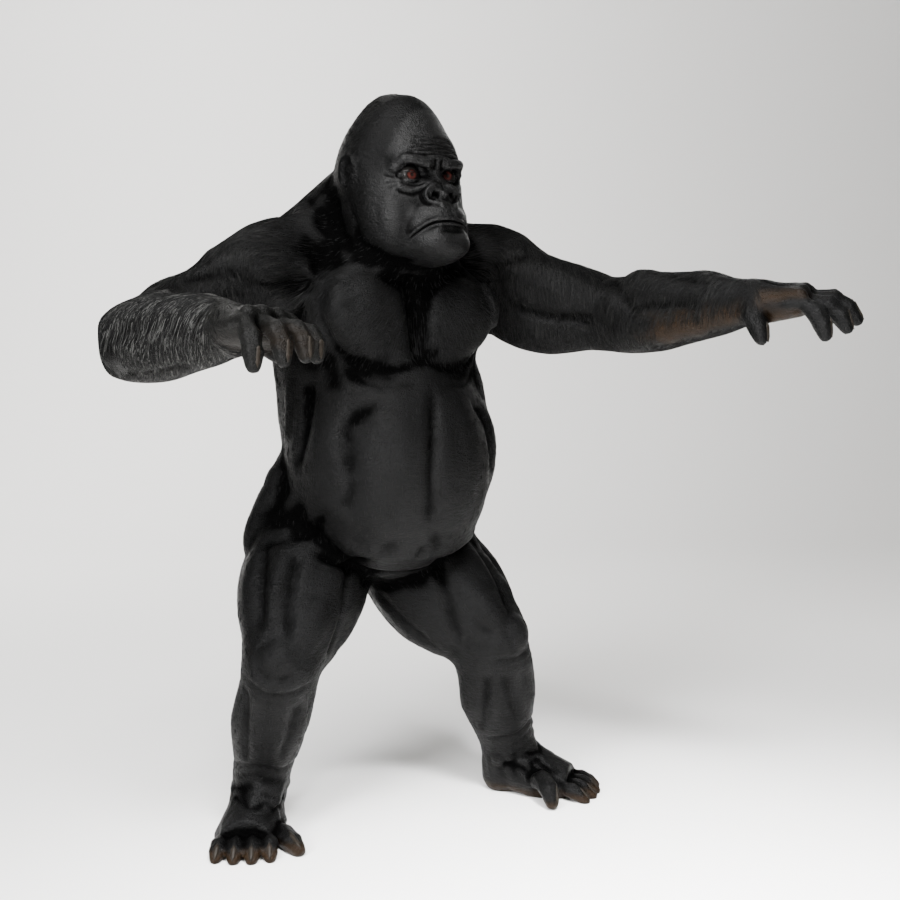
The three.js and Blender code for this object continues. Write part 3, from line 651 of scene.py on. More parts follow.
# %% Chest and belly
clay = Clay(1.3)
clay.groove("trunk", LEFT, [(-7, 1215), (-4, 1130), (-1, 1070), (-1, 1000)], 15, 9)
for side in (LEFT, RIGHT):
    clay.plate("trunk", side, [(5, 1016), (18, 1008), (32, 1012), (43, 1032), (50, 1075), (54, 1130),
                               (50, 1185), (30, 1205), (10, 1170), (4, 1090)], 11, 22)
    clay.groove("trunk", side, [(3, 1020), (18, 1004), (32, 1008), (44, 1030), (51, 1075), (55, 1125)],
                6, 5, taper=0.1, sharp=1.3)
    clay.groove("trunk", side, [(4, 975), (14, 972), (25, 970), (38, 984), (47, 1015)], 5, 4, sharp=1.4)
    clay.groove("trunk", side, [(10, 990), (25, 987), (38, 1000)], 4, 2.5, sharp=1.4)
    clay.groove("trunk", side, [(31, 945), (37, 882), (40, 820), (41, 758), (48, 692)], 30, 6)
    clay.groove("trunk", side, [(25, 950), (33, 922), (41, 895), (41, 850), (40, 779)], 12, 5)
    clay.groove("trunk", side, [(69, 985), (68, 899), (71, 835), (76, 780)], 20, 9)
    clay.groove("trunk", side, [(86, 985), (86, 896), (88, 840)], 16, -5)
    clay.groove("trunk", side, [(52, 720), (66, 668), (80, 640), (95, 625)], 10, 6, sharp=1.6)
    clay.mound("trunk", side, (52, 880), (95, 60), 6)
    clay.mound("trunk", side, (20, 850), (150, 45), 3)
clay.groove("trunk", LEFT, [(2, 960), (-2, 860), (-3, 778), (-1, 670)], 22, 5)
clay.groove("trunk", LEFT, [(3, 985), (-2, 880), (-4, 778), (-2, 668)], 9, 8, sharp=1.5)
# The belly hangs over the groin: a roll, and the fold under it.
belly_roll = [(-66, 668), (-52, 640), (-38, 616), (-8, 606), (26, 612), (46, 640), (62, 664)]
groin_fold = [(-66, 622), (-55, 594), (-42, 568), (-8, 558), (28, 566), (48, 596), (66, 620)]
clay.groove("trunk", LEFT, belly_roll, 26, -7)
clay.groove("trunk", LEFT, groin_fold, 8, 11, taper=0.1, sharp=1.5)
clay.groove("trunk", LEFT, [(-2, 622), (-2, 614)], 8, 9, taper=0)
print("chest and belly drawn")

# %% Back
for side in (LEFT, RIGHT):
    clay.groove("trunk", side, [(180, 1240), (180, 1150), (179, 1000), (179, 800)], 26, 8)
    clay.mound("trunk", side, (158, 1120), (110, 60), 9, turn=-20)
    clay.groove("trunk", side, [(172, 1010), (150, 1030), (125, 1060), (108, 1090)], 16, 6)
    clay.mound("trunk", side, (128, 960), (130, 70), 7, turn=15)
    clay.mound("trunk", side, (166, 860), (170, 38), 6)
    clay.groove("trunk", side, [(150, 980), (145, 880), (150, 780)], 22, 5)
clay.settle(3)
print("trunk modelled")

# %% Right upper arm
clay = Clay(1.25)
clay.groove("upper_arm", RIGHT, [(-30, -0.05), (-10, 0.19), (14, 0.31), (35, 0.37), (46, 0.5), (50, 0.66)],
            15, 11, sharp=1.6)
clay.mound("upper_arm", RIGHT, (48, 0.2), (80, 55), 7, turn=25)
clay.mound("upper_arm", RIGHT, (5, 0.05), (70, 42), 7, turn=20)
clay.groove("upper_arm", RIGHT, [(-20, 0.2), (0, 0.45), (12, 0.7), (15, 0.9)], 12, 5)
clay.groove("upper_arm", RIGHT, [(80, 0.3), (85, 0.5), (88, 0.75)], 12, 6)
clay.mound("upper_arm", RIGHT, (110, 0.5), (110, 55), 8)
clay.groove("upper_arm", RIGHT, [(140, 0.15), (142, 0.45), (140, 0.75)], 12, 6)
clay.mound("upper_arm", RIGHT, (170, 0.45), (100, 50), 7)
print("right upper arm drawn")

# %% Left upper arm
clay.groove("upper_arm", LEFT, [(-150, 0.3), (-115, 0.25), (-88, 0.23), (-62, 0.23), (-42, 0.28), (-25, 0.4)],
            13, 9, sharp=1.5)
clay.plate("upper_arm", LEFT, [(-28, 0.34), (-25, 0.6), (-30, 0.85), (-55, 1.0), (-88, 0.97), (-103, 0.72),
                               (-110, 0.48), (-100, 0.28), (-65, 0.25)], 8, 16)
clay.groove("upper_arm", LEFT, [(-104, 0.3), (-112, 0.47), (-105, 0.7), (-90, 0.9)], 9, 8, sharp=1.5)
clay.mound("upper_arm", LEFT, (-138, 0.5), (120, 50), 7)
clay.mound("upper_arm", LEFT, (-55, 0.05), (60, 75), 6)
clay.groove("upper_arm", LEFT, [(40, 0.35), (45, 0.6), (50, 0.85)], 12, 6)
clay.mound("upper_arm", LEFT, (85, 0.5), (110, 55), 7)
clay.groove("upper_arm", LEFT, [(150, 0.2), (150, 0.5), (150, 0.8)], 14, 6)
clay.mound("upper_arm", LEFT, (20, 0.15), (80, 60), 6)
print("left upper arm drawn")

# %% Forearms
# The crook of the left arm, the fleshy outer side of the forearm and the line below it.
clay.groove("forearm", LEFT, [(150, 0.0), (128, 0.14), (105, 0.24), (92, 0.3)], 9, 9, sharp=1.5)
clay.groove("forearm", LEFT, [(92, 0.2), (94, 0.4), (94, 0.6), (92, 0.8)], 11, 8, sharp=1.6)
clay.mound("forearm", LEFT, (130, 0.42), (95, 42), 9)
clay.mound("forearm", LEFT, (55, 0.35), (110, 48), 5)
clay.groove("forearm", LEFT, [(150, 0.35), (140, 0.6), (130, 0.85)], 8, 4)
clay.groove("forearm", LEFT, [(178, 0.2), (175, 0.5), (170, 0.85)], 9, 4)
clay.groove("forearm", LEFT, [(-90, 0.15), (-80, 0.5), (-60, 0.85)], 12, 5)
clay.mound("forearm", LEFT, (-120, 0.35), (110, 50), 6)
clay.groove("forearm", RIGHT, [(-95, 0.1), (-100, 0.45), (-105, 0.85)], 16, 4)
clay.mound("forearm", RIGHT, (-130, 0.35), (100, 45), 5)
clay.mound("forearm", RIGHT, (-60, 0.4), (110, 40), 5)
clay.groove("forearm", RIGHT, [(-30, 0.1), (-28, 0.4), (-25, 0.75)], 11, 5)
clay.mound("forearm", RIGHT, (95, 0.4), (110, 50), 6)
clay.groove("forearm", RIGHT, [(50, 0.1), (50, 0.5), (40, 0.85)], 12, 5)
# Two creases where the right wrist bends.
clay.groove("forearm", RIGHT, [(-128, 0.92), (-100, 0.9), (-75, 0.87), (-45, 0.86), (-15, 0.88)],
            5, 5, sharp=1.5)
clay.groove("forearm", RIGHT, [(-125, 1.02), (-95, 1.0), (-60, 0.98), (-25, 0.98)], 4, 3, sharp=1.5)
for side, heads in ((LEFT, -80), (RIGHT, -70)):
    # The bony point of the elbow.
    clay.mound("forearm", side, (heads, 0.04), (34, 30), 6)
clay.settle(3)
print("arms modelled")

# %% Thighs
clay = Clay(1.15)
for side in (LEFT, RIGHT):
    clay.groove("thigh", side, [(50, 0.3), (46, 0.48), (39, 0.69), (35, 0.84), (33, 0.97)], 12, 9, sharp=1.7)
    clay.groove("thigh", side, [(14, 0.4), (9, 0.66), (2, 0.85), (-8, 0.98)], 11, 8, sharp=1.7)
    clay.groove("thigh", side, [(-40, 0.25), (-48, 0.45), (-60, 0.62), (-78, 0.78), (-92, 0.95)],
                13, 8, sharp=1.7)
    clay.mound("thigh", side, (68, 0.7), (130, 50), 6)
    clay.mound("thigh", side, (26, 0.66), (130, 34), 6)
    clay.mound("thigh", side, (-28, 0.84), (75, 48), 10, turn=12)
    clay.groove("thigh", side, [(100, 0.3), (100, 0.6), (98, 0.95)], 14, 8)
    clay.groove("thigh", side, [(150, 0.25), (150, 0.6), (150, 0.9)], 16, 6)
    clay.mound("thigh", side, (125, 0.6), (140, 55), 6)
    clay.groove("thigh", side, [(-118, 0.15), (-114, 0.4), (-116, 0.62), (-120, 0.8)], 12, 7, sharp=1.7)
    clay.mound("thigh", side, (-140, 0.6), (130, 50), 5)
print("thighs drawn")

# %% Knees
# The kneecap with a moat round it and wrinkles across it, and the fold below.
KNEECAP_RIM = [(0, 0.955), (22, 0.99), (33, 1.07), (30, 1.17), (0, 1.225), (-24, 1.17), (-28, 1.07),
               (-20, 0.98), (0, 0.955)]
for side in (LEFT, RIGHT):
    clay.mound("thigh", side, (2, 1.09), (48, 34), 4)
    clay.groove("thigh", side, KNEECAP_RIM, 7, 4, taper=0, sharp=1.6)
    for k in range(5):
        row = 1.02 + 0.032 * k
        wrinkle = [(-18, row), (-6, row - 0.012), (8, row - 0.01), (20, row + 0.004)]
        clay.groove("thigh", side, wrinkle, 2.6, 2, sharp=1.5)
    clay.groove("shin", side, [(52, 0.02), (34, 0.03), (10, 0.06), (-16, 0.05), (-45, 0.02), (-70, 0.0)],
                7, 6, sharp=1.5)
    clay.groove("shin", side, [(34, 0.09), (10, 0.12), (-16, 0.11), (-40, 0.08)], 4, 3, sharp=1.5)
print("knees drawn")

# %% Shins
for side in (LEFT, RIGHT):
    clay.groove("shin", side, [(46, 0.06), (38, 0.18), (31, 0.4), (26, 0.57), (22, 0.7)], 9, 8, sharp=1.6)
    clay.groove("shin", side, [(-46, 0.12), (-40, 0.39), (-32, 0.62)], 10, 6, sharp=1.7)
    clay.groove("shin", side, [(-68, 0.08), (-78, 0.26), (-94, 0.53), (-105, 0.7)], 10, 6, sharp=1.7)
    clay.mound("shin", side, (70, 0.35), (90, 34), 7)
    clay.mound("shin", side, (-60, 0.35), (80, 26), 5)
    clay.groove("shin", side, [(105, 0.15), (105, 0.4), (110, 0.6)], 11, 6)
    clay.mound("shin", side, (140, 0.3), (80, 40), 8)
    clay.mound("shin", side, (-140, 0.33), (85, 40), 8)
    clay.groove("shin", side, [(180, 0.05), (180, 0.25), (180, 0.5)], 12, 6)
    clay.groove("shin", side, [(150, 0.62), (152, 0.8), (155, 0.95)], 10, 6)
    clay.groove("shin", side, [(-150, 0.62), (-152, 0.8), (-155, 0.95)], 10, 6)
    # The skin rucks in rings above the foot.
    clay.groove("shin", side, [(100, 0.78), (66, 0.8), (30, 0.72), (0, 0.68), (-35, 0.72), (-65, 0.72),
                               (-110, 0.74)], 5, 6, sharp=1.4)
    clay.groove("shin", side, [(60, 0.88), (25, 0.8), (0, 0.76), (-35, 0.8), (-70, 0.82)], 4, 3, sharp=1.4)
    clay.groove("shin", side, [(45, 0.95), (20, 0.87), (0, 0.84), (-35, 0.88), (-60, 0.92)],
                4, 2.5, sharp=1.4)
clay.settle(3)
print("legs modelled")

# %% [markdown]
# ## Pull the outline
#
# A body is known by its outline, and the smoothing has rounded it off. Broad mounds give back what it
# took, and mounds of less than no height thin what stands too full. Each row says where the mound lies,
# how far it reaches along and across, and by how many millimetres it moves the skin.

# %% Pull the outline
OUTLINE_PULLS = (
    ("upper_arm", RIGHT, (115, 0.48), (85, 60), -21), ("upper_arm", RIGHT, (95, -0.29), (40, 45), -16),
    ("forearm", RIGHT, (-80, -0.1), (60, 60), -17), ("head", RIGHT, (106, 267, 0), (55, 32), 6),
    ("upper_arm", LEFT, (22, 0.48), (115, 50), -23), ("upper_arm", LEFT, (-158, 0.5), (150, 60), 20),
    ("forearm", LEFT, (150, 0.24), (60, 40), 14), ("forearm", LEFT, (-172, 0.86), (60, 40), -10),
    ("trunk", RIGHT, (119, 955), (90, 65), -34), ("trunk", RIGHT, (104, 750), (75, 60), 16),
    ("trunk", RIGHT, (105, 785), (52, 50), 13), ("trunk", LEFT, (50, 705), (85, 55), -13),
    ("trunk", LEFT, (58, 975), (70, 45), 14), ("thigh", LEFT, (30, 0.58), (85, 50), -16),
    ("shin", LEFT, (13, 0.32), (100, 40), 9), ("shin", LEFT, (-148, 0.3), (80, 45), -14),
    ("shin", RIGHT, (86, 0.28), (110, 42), -12), ("thigh", RIGHT, (-87, 0.7), (75, 50), -10),
    ("thigh", LEFT, (25, 0.38), (60, 50), -17))
clay = Clay()
for where, side, centre, radii, height in OUTLINE_PULLS:
    clay.mound(where, side, centre, radii, height)
clay.settle(3)
print("outline pulled")

# %% [markdown]
# ## The head
#
# A face needs finer clay: its mesh is divided in four, and round the eyes, nose and mouth once more.
# The two halves are evened out before anything is drawn on them. The eyes come first, because lids
# lie on them: the skin is laid over a ball a little larger than the eye and sinks behind it where the
# lids part. In the head a spot is in millimetres: outwards from the middle, back and up from a point
# between the eyes. All strokes from the brow to the ears gather in one `clay` and are made together.

# %% Finer clay for the head


def divide(inside):
    """Divides the faces whose middles pass the test."""
    mesh = skin.data
    middles = np.empty(len(mesh.polygons) * 3)
    mesh.polygons.foreach_get("center", middles)
    chosen = inside(middles.reshape(-1, 3))
    bpy.context.view_layer.objects.active = skin
    bpy.ops.object.mode_set(mode="EDIT")
    bpy.ops.mesh.select_mode(type="FACE")
    bpy.ops.mesh.select_all(action="DESELECT")
    bpy.ops.object.mode_set(mode="OBJECT")
    mesh.polygons.foreach_set("select", chosen)
    bpy.ops.object.mode_set(mode="EDIT")
    bpy.ops.mesh.subdivide(number_cuts=1, smoothness=0)
    bpy.ops.object.mode_set(mode="OBJECT")


def is_face(points):
    masks = region_masks(points)
    return np.maximum(masks["face"], masks["ear"]) > 0.3


def is_feature(points):
    h = head_coordinates(points)
    h[:, 0] = np.abs(h[:, 0])
    eyes = np.linalg.norm((h - [54, 0, 0]) / [42, 60, 34], axis=1) < 1
    nose = np.linalg.norm((h - [0, -40, -48]) / [48, 50, 30], axis=1) < 1
    mouth = np.linalg.norm((h - [0, -40, -112]) / [84, 70, 24], axis=1) < 1
    ear = np.linalg.norm((h - [125, 124, 13]) / [30, 30, 40], axis=1) < 1
    return eyes | nose | mouth | ear


divide(is_face)
divide(is_feature)


def even_out_face():
    """Gives each point of the face the mean of its own and its mirror image's distance from the middle."""
    points = read_vertices(skin.data)
    weight = region_masks(points)["face"]
    chosen = np.flatnonzero(weight > 0.01)
    h = head_coordinates(points[chosen])
    core = np.stack([np.zeros(len(h)), np.full(len(h), 95.0), np.clip(h[:, 2], -130, 60)], axis=1)
    rays = unit(h - core)
    tree = skin_tree()
    lengths = np.linalg.norm(h - core, axis=1)
    moved = points.copy()
    for i, index in enumerate(chosen):
        mirrored = rays[i] * [-1, 1, 1]
        start = in_head(*core[i])
        direction = in_head(*(core[i] + mirrored)) - start
        hit = tree.ray_cast(Vector(start), Vector(direction), 0.35)[3]
        if hit is not None:
            reach = lengths[i] + (hit * 1000 - lengths[i]) * 0.5 * weight[index]
            moved[index] = in_head(*(core[i] + rays[i] * reach))
    write_vertices(skin.data, moved)


even_out_face()
print("skin with a finer head:", len(skin.data.vertices), "vertices")

# %% Eyelids
EYE_RADIUS, EYE_SET_BACK = 24.0, 19.0
EYE_SIDE = {LEFT: 41.0, RIGHT: 50.0}
EYE_UP = {LEFT: 2.5, RIGHT: -3.0}
LID = 2.4
OPEN_WIDTH, OPEN_UP, OPEN_DOWN = 19.5, 5.8, 9.0


def opening(x, z):
    """1 on the lids' edge, less inside: an almond that the brow cuts off towards the nose."""
    up = OPEN_UP * (1 + 0.02 * x)
    half = np.where(z > 0, up, OPEN_DOWN) * np.sqrt(np.clip(1 - (x / OPEN_WIDTH) ** 2, 0.02, 1)) ** 0.8
    return np.maximum(np.abs(z) / half, (x / OPEN_WIDTH) ** 2)


def shape_sockets():
    """Sinks the sockets, lays the lids over the eyes and parts them."""
    points = read_vertices(skin.data)
    h = head_coordinates(points)
    for side in (LEFT, RIGHT):
        x, z = h[:, 0] * side - EYE_SIDE[side] - 3, h[:, 2] - EYE_UP[side]
        near = (np.abs(x) < 45) & (np.abs(z) < 40) & (h[:, 1] < 60)
        socket = np.exp(-((x / 30) ** 2 + ((z - 3) / 17) ** 2) ** 1.5) * near
        h[:, 1] += 12 * socket
        flat2 = x**2 + z**2
        ball = EYE_SET_BACK - np.sqrt(np.clip((EYE_RADIUS + LID) ** 2 - flat2, 1, None))
        behind = EYE_SET_BACK - np.sqrt(np.clip((EYE_RADIUS - 5) ** 2 - flat2, 1, None))
        gape = opening(x, z)
        cover = np.exp(-np.clip(gape - 1, 0, None) ** 2 * 0.9) * near
        h[:, 1] += (np.minimum(ball, h[:, 1] + 6) - h[:, 1]) * cover
        inside = fade(gape, 1.0, 0.82) * near
        h[:, 1] += (np.maximum(behind, h[:, 1]) - h[:, 1]) * inside
    chosen = np.flatnonzero(np.abs(h[:, 0]) < 110)
    points[chosen] = [in_head(*row) for row in h[chosen]]
    write_vertices(skin.data, points)


shape_sockets()
print("eyelids parted")

# %% Brow
clay = Clay()
for side in (LEFT, RIGHT):
    # A heavy roll that dips towards the nose, with furrows where it is drawn down.
    clay.groove("head", side, [(90, 20, 2), (85, 12, 18), (75, -2, 30), (57, -9, 27), (32, -16, 20),
                               (12, -21, 15)], 10, -5.5, taper=0.1)
    clay.groove("head", side, [(82, 10, 9), (72, 0, 15), (56, -7, 12), (34, -14, 7), (18, -16, 3)], 4, 4)
    clay.groove("head", side, [(86, 14, 34), (74, -2, 44), (60, -9, 41), (40, -14, 37), (20, -20, 34)],
                4, 3, sharp=1.5)
    clay.groove("head", side, [(9, -22, 34), (8, -22, 22), (10, -16, 8)], 4, 4, sharp=1.5)
    clay.groove("head", side, [(20, -20, 30), (17, -18, 20), (17, -14, 10)], 3, 2.5, sharp=1.5)
    for k, low in enumerate((12, 20, 28)):
        outer = [(92 - 4 * k, 20, low - 3), (82 - 3 * k, 10, low + 6), (76 - 3 * k, 4, low + 8)]
        clay.groove("head", side, outer, 2.2, 1.4, sharp=1.5)
print("brow drawn")

# %% Lower lids
for side in (LEFT, RIGHT):
    # The lid's edge, the bag below it and the lines that run out from the corner of the eye.
    clay.groove("head", side, [(72, 5, -9), (62, 0, -15), (48, -5, -15), (34, -6, -10)], 2.4, -2.2)
    clay.groove("head", side, [(80, 10, -16), (68, 0, -23), (52, -6, -25), (38, -14, -20), (30, -20, -12)],
                2.6, 2.6, sharp=1.5)
    clay.groove("head", side, [(90, 12, -30), (76, 0, -40), (58, -10, -43), (43, -20, -34), (34, -28, -24)],
                4, 3.4, sharp=1.6)
    clay.groove("head", side, [(88, 10, -24), (74, 0, -32), (56, -10, -34), (42, -18, -27)], 5, -3)
    clay.groove("head", side, [(80, 8, -8), (92, 20, -6), (106, 40, 2)], 3, 1.6, taper=0.4)
    clay.groove("head", side, [(80, 8, -13), (92, 17, -18), (106, 34, -20)], 2.6, 1.4, taper=0.4)
    clay.groove("head", side, [(80, 8, -18), (90, 14, -27), (103, 27, -34)], 2.6, 1.2, taper=0.4)
print("lower lids drawn")

# %% Nose
for side in (LEFT, RIGHT):
    # A rolled wing round each nostril, which runs down towards the lip.
    clay.groove("head", side, [(8, -30, -18), (20, -34, -23), (32, -32, -29), (39, -28, -42), (36, -33, -56),
                               (27, -44, -62), (18, -52, -66), (16, -60, -76)], 4.4, -6, taper=0.12)
    clay.groove("head", side, [(24, -26, -16), (40, -24, -28), (47, -20, -42), (43, -28, -60),
                               (34, -44, -70)], 4, 4)
    clay.groove("head", side, [(28, -36, -40), (21, -38, -42), (13, -41, -45)], 6, 11, taper=0.05)
    clay.groove("head", side, [(30, -40, -52), (20, -46, -56), (10, -46, -56)], 3, 3)
clay.mound("head", LEFT, (0, -42, -42), (12, 8), 5)
clay.groove("head", LEFT, [(0, -30, -10), (0, -36, -26), (0, -44, -40), (0, -46, -54)], 3, 1.5)
clay.groove("head", LEFT, [(0, -50, -62), (0, -56, -76), (0, -62, -88)], 4, 1.2)
print("nose drawn")

# %% Cheeks
for side in (LEFT, RIGHT):
    # The furrow from the wing of the nose to the corner of the mouth, the cheek, jaw and neck.
    clay.groove("head", side, [(40, -20, -60), (58, -20, -82), (72, -14, -108), (78, -8, -132)], 8, 1.6)
    clay.mound("head", side, (62, -30, -92), (34, 28), 2.5)
    clay.mound("head", side, (95, 20, -88), (50, 30), 4)
    clay.mound("head", side, (34, -50, -142), (34, 44), 5)
    clay.groove("head", side, [(130, 127, -26), (129, 116, -58), (126, 103, -94), (116, 96, -133),
                               (98, 70, -157), (65, 45, -173), (39, -5, -179)], 7, 5, sharp=1.6)
    clay.groove("head", side, [(128, 157, -33), (128, 165, -74), (127, 140, -128), (125, 105, -162)],
                8, 4, sharp=1.6)
clay.mound("head", LEFT, (96, 15, -40), (36, 34), -8)
print("cheeks drawn")

# %% Mouth and chin
# The line turns down at its corners, and a thin lip edges it on both sides.
half = [(10, -67, -99.5), (33, -57, -102), (48, -47, -109), (60, -36, -119), (70, -18, -131), (75, -8, -140)]
mouth = [(-a, b, c) for a, b, c in half[::-1]] + [(0, -67, -99)] + half
for shift, wide, deep in ((0, 1.9, 5), (5, 2.6, -2.6), (-5, 2.6, -3), (11, 3, 1)):
    line = [(a, b, c + shift) for a, b, c in mouth]
    clay.groove("head", LEFT, line, wide, deep, taper=0.09, sharp=1.7)
clay.mound("head", LEFT, (0, -60, -152), (36, 52), 5)
clay.groove("head", LEFT, [(-30, -58, -124), (0, -68, -121), (30, -58, -124)], 6, 2)
print("mouth and chin drawn")

# %% Forehead
# Wrinkles across it, each wavering a little and shorter than the one below.
for k, height in enumerate((43, 51, 59, 67, 76, 86)):
    reach = 84 - 5 * k
    line = []
    for i, x in enumerate(np.linspace(-reach, reach, 9)):
        bend = (x / 78) ** 2
        line.append((x, 8 * bend - 14, height + 5 * bend - 4 + 1.5 * math.sin(2.1 * k + i * 1.9)))
    clay.groove("head", LEFT, line, 2.4, 4, taper=0.12, sharp=1.7)
print("forehead drawn")

# %% Ears
# A rim, the hollow inside it, and the small flap in front.
EAR_RIM = [(124, 104, 18), (124, 108, 34), (125, 120, 44), (126, 136, 38), (127, 146, 18), (128, 142, -4),
           (128, 128, -19)]
for side in (LEFT, RIGHT):
    clay.mound("head", side, (124, 124, 13), (38, 26), 6, power=0.8)
    clay.groove("head", side, EAR_RIM, 3, -9, taper=0.08)
    clay.groove("head", side, [(126, 116, 24), (126, 126, 30), (127, 134, 20), (127, 130, 0), (127, 120, -6)],
                4.5, 5, taper=0.1)
    clay.groove("head", side, [(126, 118, 12), (127, 122, 2)], 6, 8, taper=0)
    clay.groove("head", side, [(125, 105, 6), (126, 108, -6)], 4, -4, taper=0.1)
clay.settle(2, 0.4)
print("face modelled")

# %% Open the lids


def open_lids():
    """Sinks whatever the strokes left between the lids back behind the eye."""
    points = read_vertices(skin.data)
    h = head_coordinates(points)
    for side in (LEFT, RIGHT):
        x, z = h[:, 0] * side - EYE_SIDE[side] - 3, h[:, 2] - EYE_UP[side]
        near = (np.abs(x) < 30) & (np.abs(z) < 25) & (h[:, 1] < 40)
        behind = EYE_SET_BACK - np.sqrt(np.clip((EYE_RADIUS - 5) ** 2 - x**2 - z**2, 1, None))
        h[:, 1] += (np.maximum(behind, h[:, 1]) - h[:, 1]) * fade(opening(x, z), 0.98, 0.84) * near
    chosen = np.flatnonzero(np.abs(h[:, 0]) < 110)
    points[chosen] = [in_head(*row) for row in h[chosen]]
    write_vertices(skin.data, points)


open_lids()
print("lids open again")

# %% [markdown]
# ## Hands and feet
#
# The solid of each finger and toe tells where it runs, so its joints need no table: creases ring it
# at its joints, and a knuckle swells between them. Tendons fan out over the back of the hand and foot.

# %% Fingers and toes
clay = Clay()
FINGERS = ("index", "middle", "ring", "little")
TOES = ("second", "third", "fourth", "fifth")
SIDES = {LEFT: "left", RIGHT: "right"}
PALM_BREADTH = 106


def limb_of_digit(name):
    side = LEFT if name.endswith("left") else RIGHT
    return LIMBS["foot" if "toe" in name else "hand", side]


def crease_digit(name, back, joints, depth):
    """Rings a digit with creases at its joints, deeper on its back, with a swelling at each joint."""
    own = read_vertices(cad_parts[name].data)
    middle = own.mean(axis=0)
    axis = np.linalg.svd(own - middle, full_matrices=False)[2][0]
    if axis @ limb_of_digit(name)["axes"][2] < 0:
        axis = -axis
    low, high = ((own - middle) @ axis).min(), ((own - middle) @ axis).max()
    beside = own - middle - ((own - middle) @ axis)[:, None] * axis
    radius = np.median(np.linalg.norm(beside, axis=1))
    rel = clay.points - middle
    t = rel @ axis
    off = rel - t[:, None] * axis
    near = np.flatnonzero((np.linalg.norm(off, axis=1) < radius * 1.9) & (t > low - 0.004) & (t < high))
    share = (t[near] - low) / (high - low)
    top = fade(unit(off[near]) @ unit(back), -0.5, 0.4)
    for joint in joints:
        gap = (share - joint) * (high - low)
        clay.lift[near] += 1.6 * np.exp(-(gap / 0.010) ** 2) * top
        for shift, strength in ((-0.006, 0.8), (0, 1), (0.006, 0.7)):
            clay.lift[near] -= depth * strength * np.exp(-((gap - shift) / 0.0014) ** 2)


for side, word in SIDES.items():
    palm = np.array(PALM_FACING[side], float)
    for digit in FINGERS:
        crease_digit(f"{digit}_finger_{word}", -palm, (0.08, 0.46, 0.74), 1.1)
    crease_digit(f"thumb_{word}", -palm, (0.3, 0.66), 1.1)
    for digit in TOES:
        crease_digit(f"{digit}_toe_{word}", (0, 0, 1), (0.25, 0.62), 1.0)
    crease_digit(f"big_toe_{word}", (0, 0, 1), (0.3, 0.66), 1.0)
print("digits creased")

# %% Knuckles, tendons and ankles
for side in (LEFT, RIGHT):
    for share in (-0.5, -0.167, 0.167, 0.5):
        across = share * PALM_BREADTH
        clay.mound("hand", side, (across, -26, 108), (17, 13), 4, power=1.2)
        clay.groove("hand", side, [(across * 0.35, -30, 12), (across * 0.7, -34, 60), (across, -30, 98)],
                    4.5, -2.6)
        clay.groove("foot", side, [(across * 0.3, 95, 25), (across * 0.55, 70, 70), (across * 0.8, 50, 108)],
                    5, -2.4)
    for k in range(3):
        low, high = -8 - 9 * k, 26 + 11 * k
        clay.groove("hand", side, [(-34, -20, low), (0, -32, low), (34, -20, low)], 2.4, 1.6)
        clay.groove("foot", side, [(-30, 110, 10 + 11 * k), (0, 118 - 12 * k, high), (30, 105, 14 + 11 * k)],
                    2.6, 1.8)
    # The ankle's two bony points.
    clay.mound("foot", side, (46, 92, -8), (20, 17), 6, power=1.2)
    clay.mound("foot", side, (-46, 100, -6), (20, 17), 6, power=1.2)
clay.settle(1, 0.4)
print("hands and feet modelled")

# %% [markdown]
# ## Fewer triangles
#
# Under the coat the skin sinks by the coat's depth, so that the tufts end where the solids did. The
# clay is also finer than the finished skin has to be. Decimation keeps triangles where the form turns
# and where the weight asks for them: on the face, hands and feet.

# %% Sink the skin under the coat
COAT_DEPTH = 0.0012
points, normals = read_vertices(skin.data), read_normals(skin.data)
masks = region_masks(points)
bare = np.clip(masks["face"] + masks["ear"] + masks["hand"] + masks["foot"], 0, 1)
points -= normals * COAT_DEPTH * (1 - bare)[:, None]
# Nothing may stand outside the box of the solids.
BOX_LOW, BOX_HIGH = np.array(cad_box[0]) + SOLE, np.array(cad_box[1]) - SOLE
points = np.clip(points, BOX_LOW, BOX_HIGH)
write_vertices(skin.data, points)
print("haired share of the skin:", round(float((bare < 0.5).mean()), 2))

# %% Decimate
SKIN_TRIANGLES = 192000
KEEP_LEVELS = 20
keep = skin.vertex_groups.new(name="keep")
share = 0.75 * (1 - masks["face"] * 0.93 - (masks["hand"] + masks["foot"]) * 0.4)
for level in range(1, KEEP_LEVELS + 1):
    chosen = np.flatnonzero(np.round(share * KEEP_LEVELS).astype(int) == level)
    if len(chosen):
        keep.add(chosen.tolist(), level / KEEP_LEVELS, "REPLACE")
triangles = sum(len(polygon.vertices) - 2 for polygon in skin.data.polygons)
apply_modifier(skin, "DECIMATE", ratio=SKIN_TRIANGLES / triangles, vertex_group="keep",
               vertex_group_factor=2.0, use_collapse_triangulate=True)
skin.vertex_groups.clear()
print("skin:", len(skin.data.polygons), "triangles from", triangles)

# %% [markdown]
# ## Eyes and nails
#
# Each eye is a ball whose pole looks forward, so that its rings are the rings of the iris. The cornea
# is only gloss: a coat on the shader. The nails start from their solids and are rounded the same way as
# the skin, with finer clay.

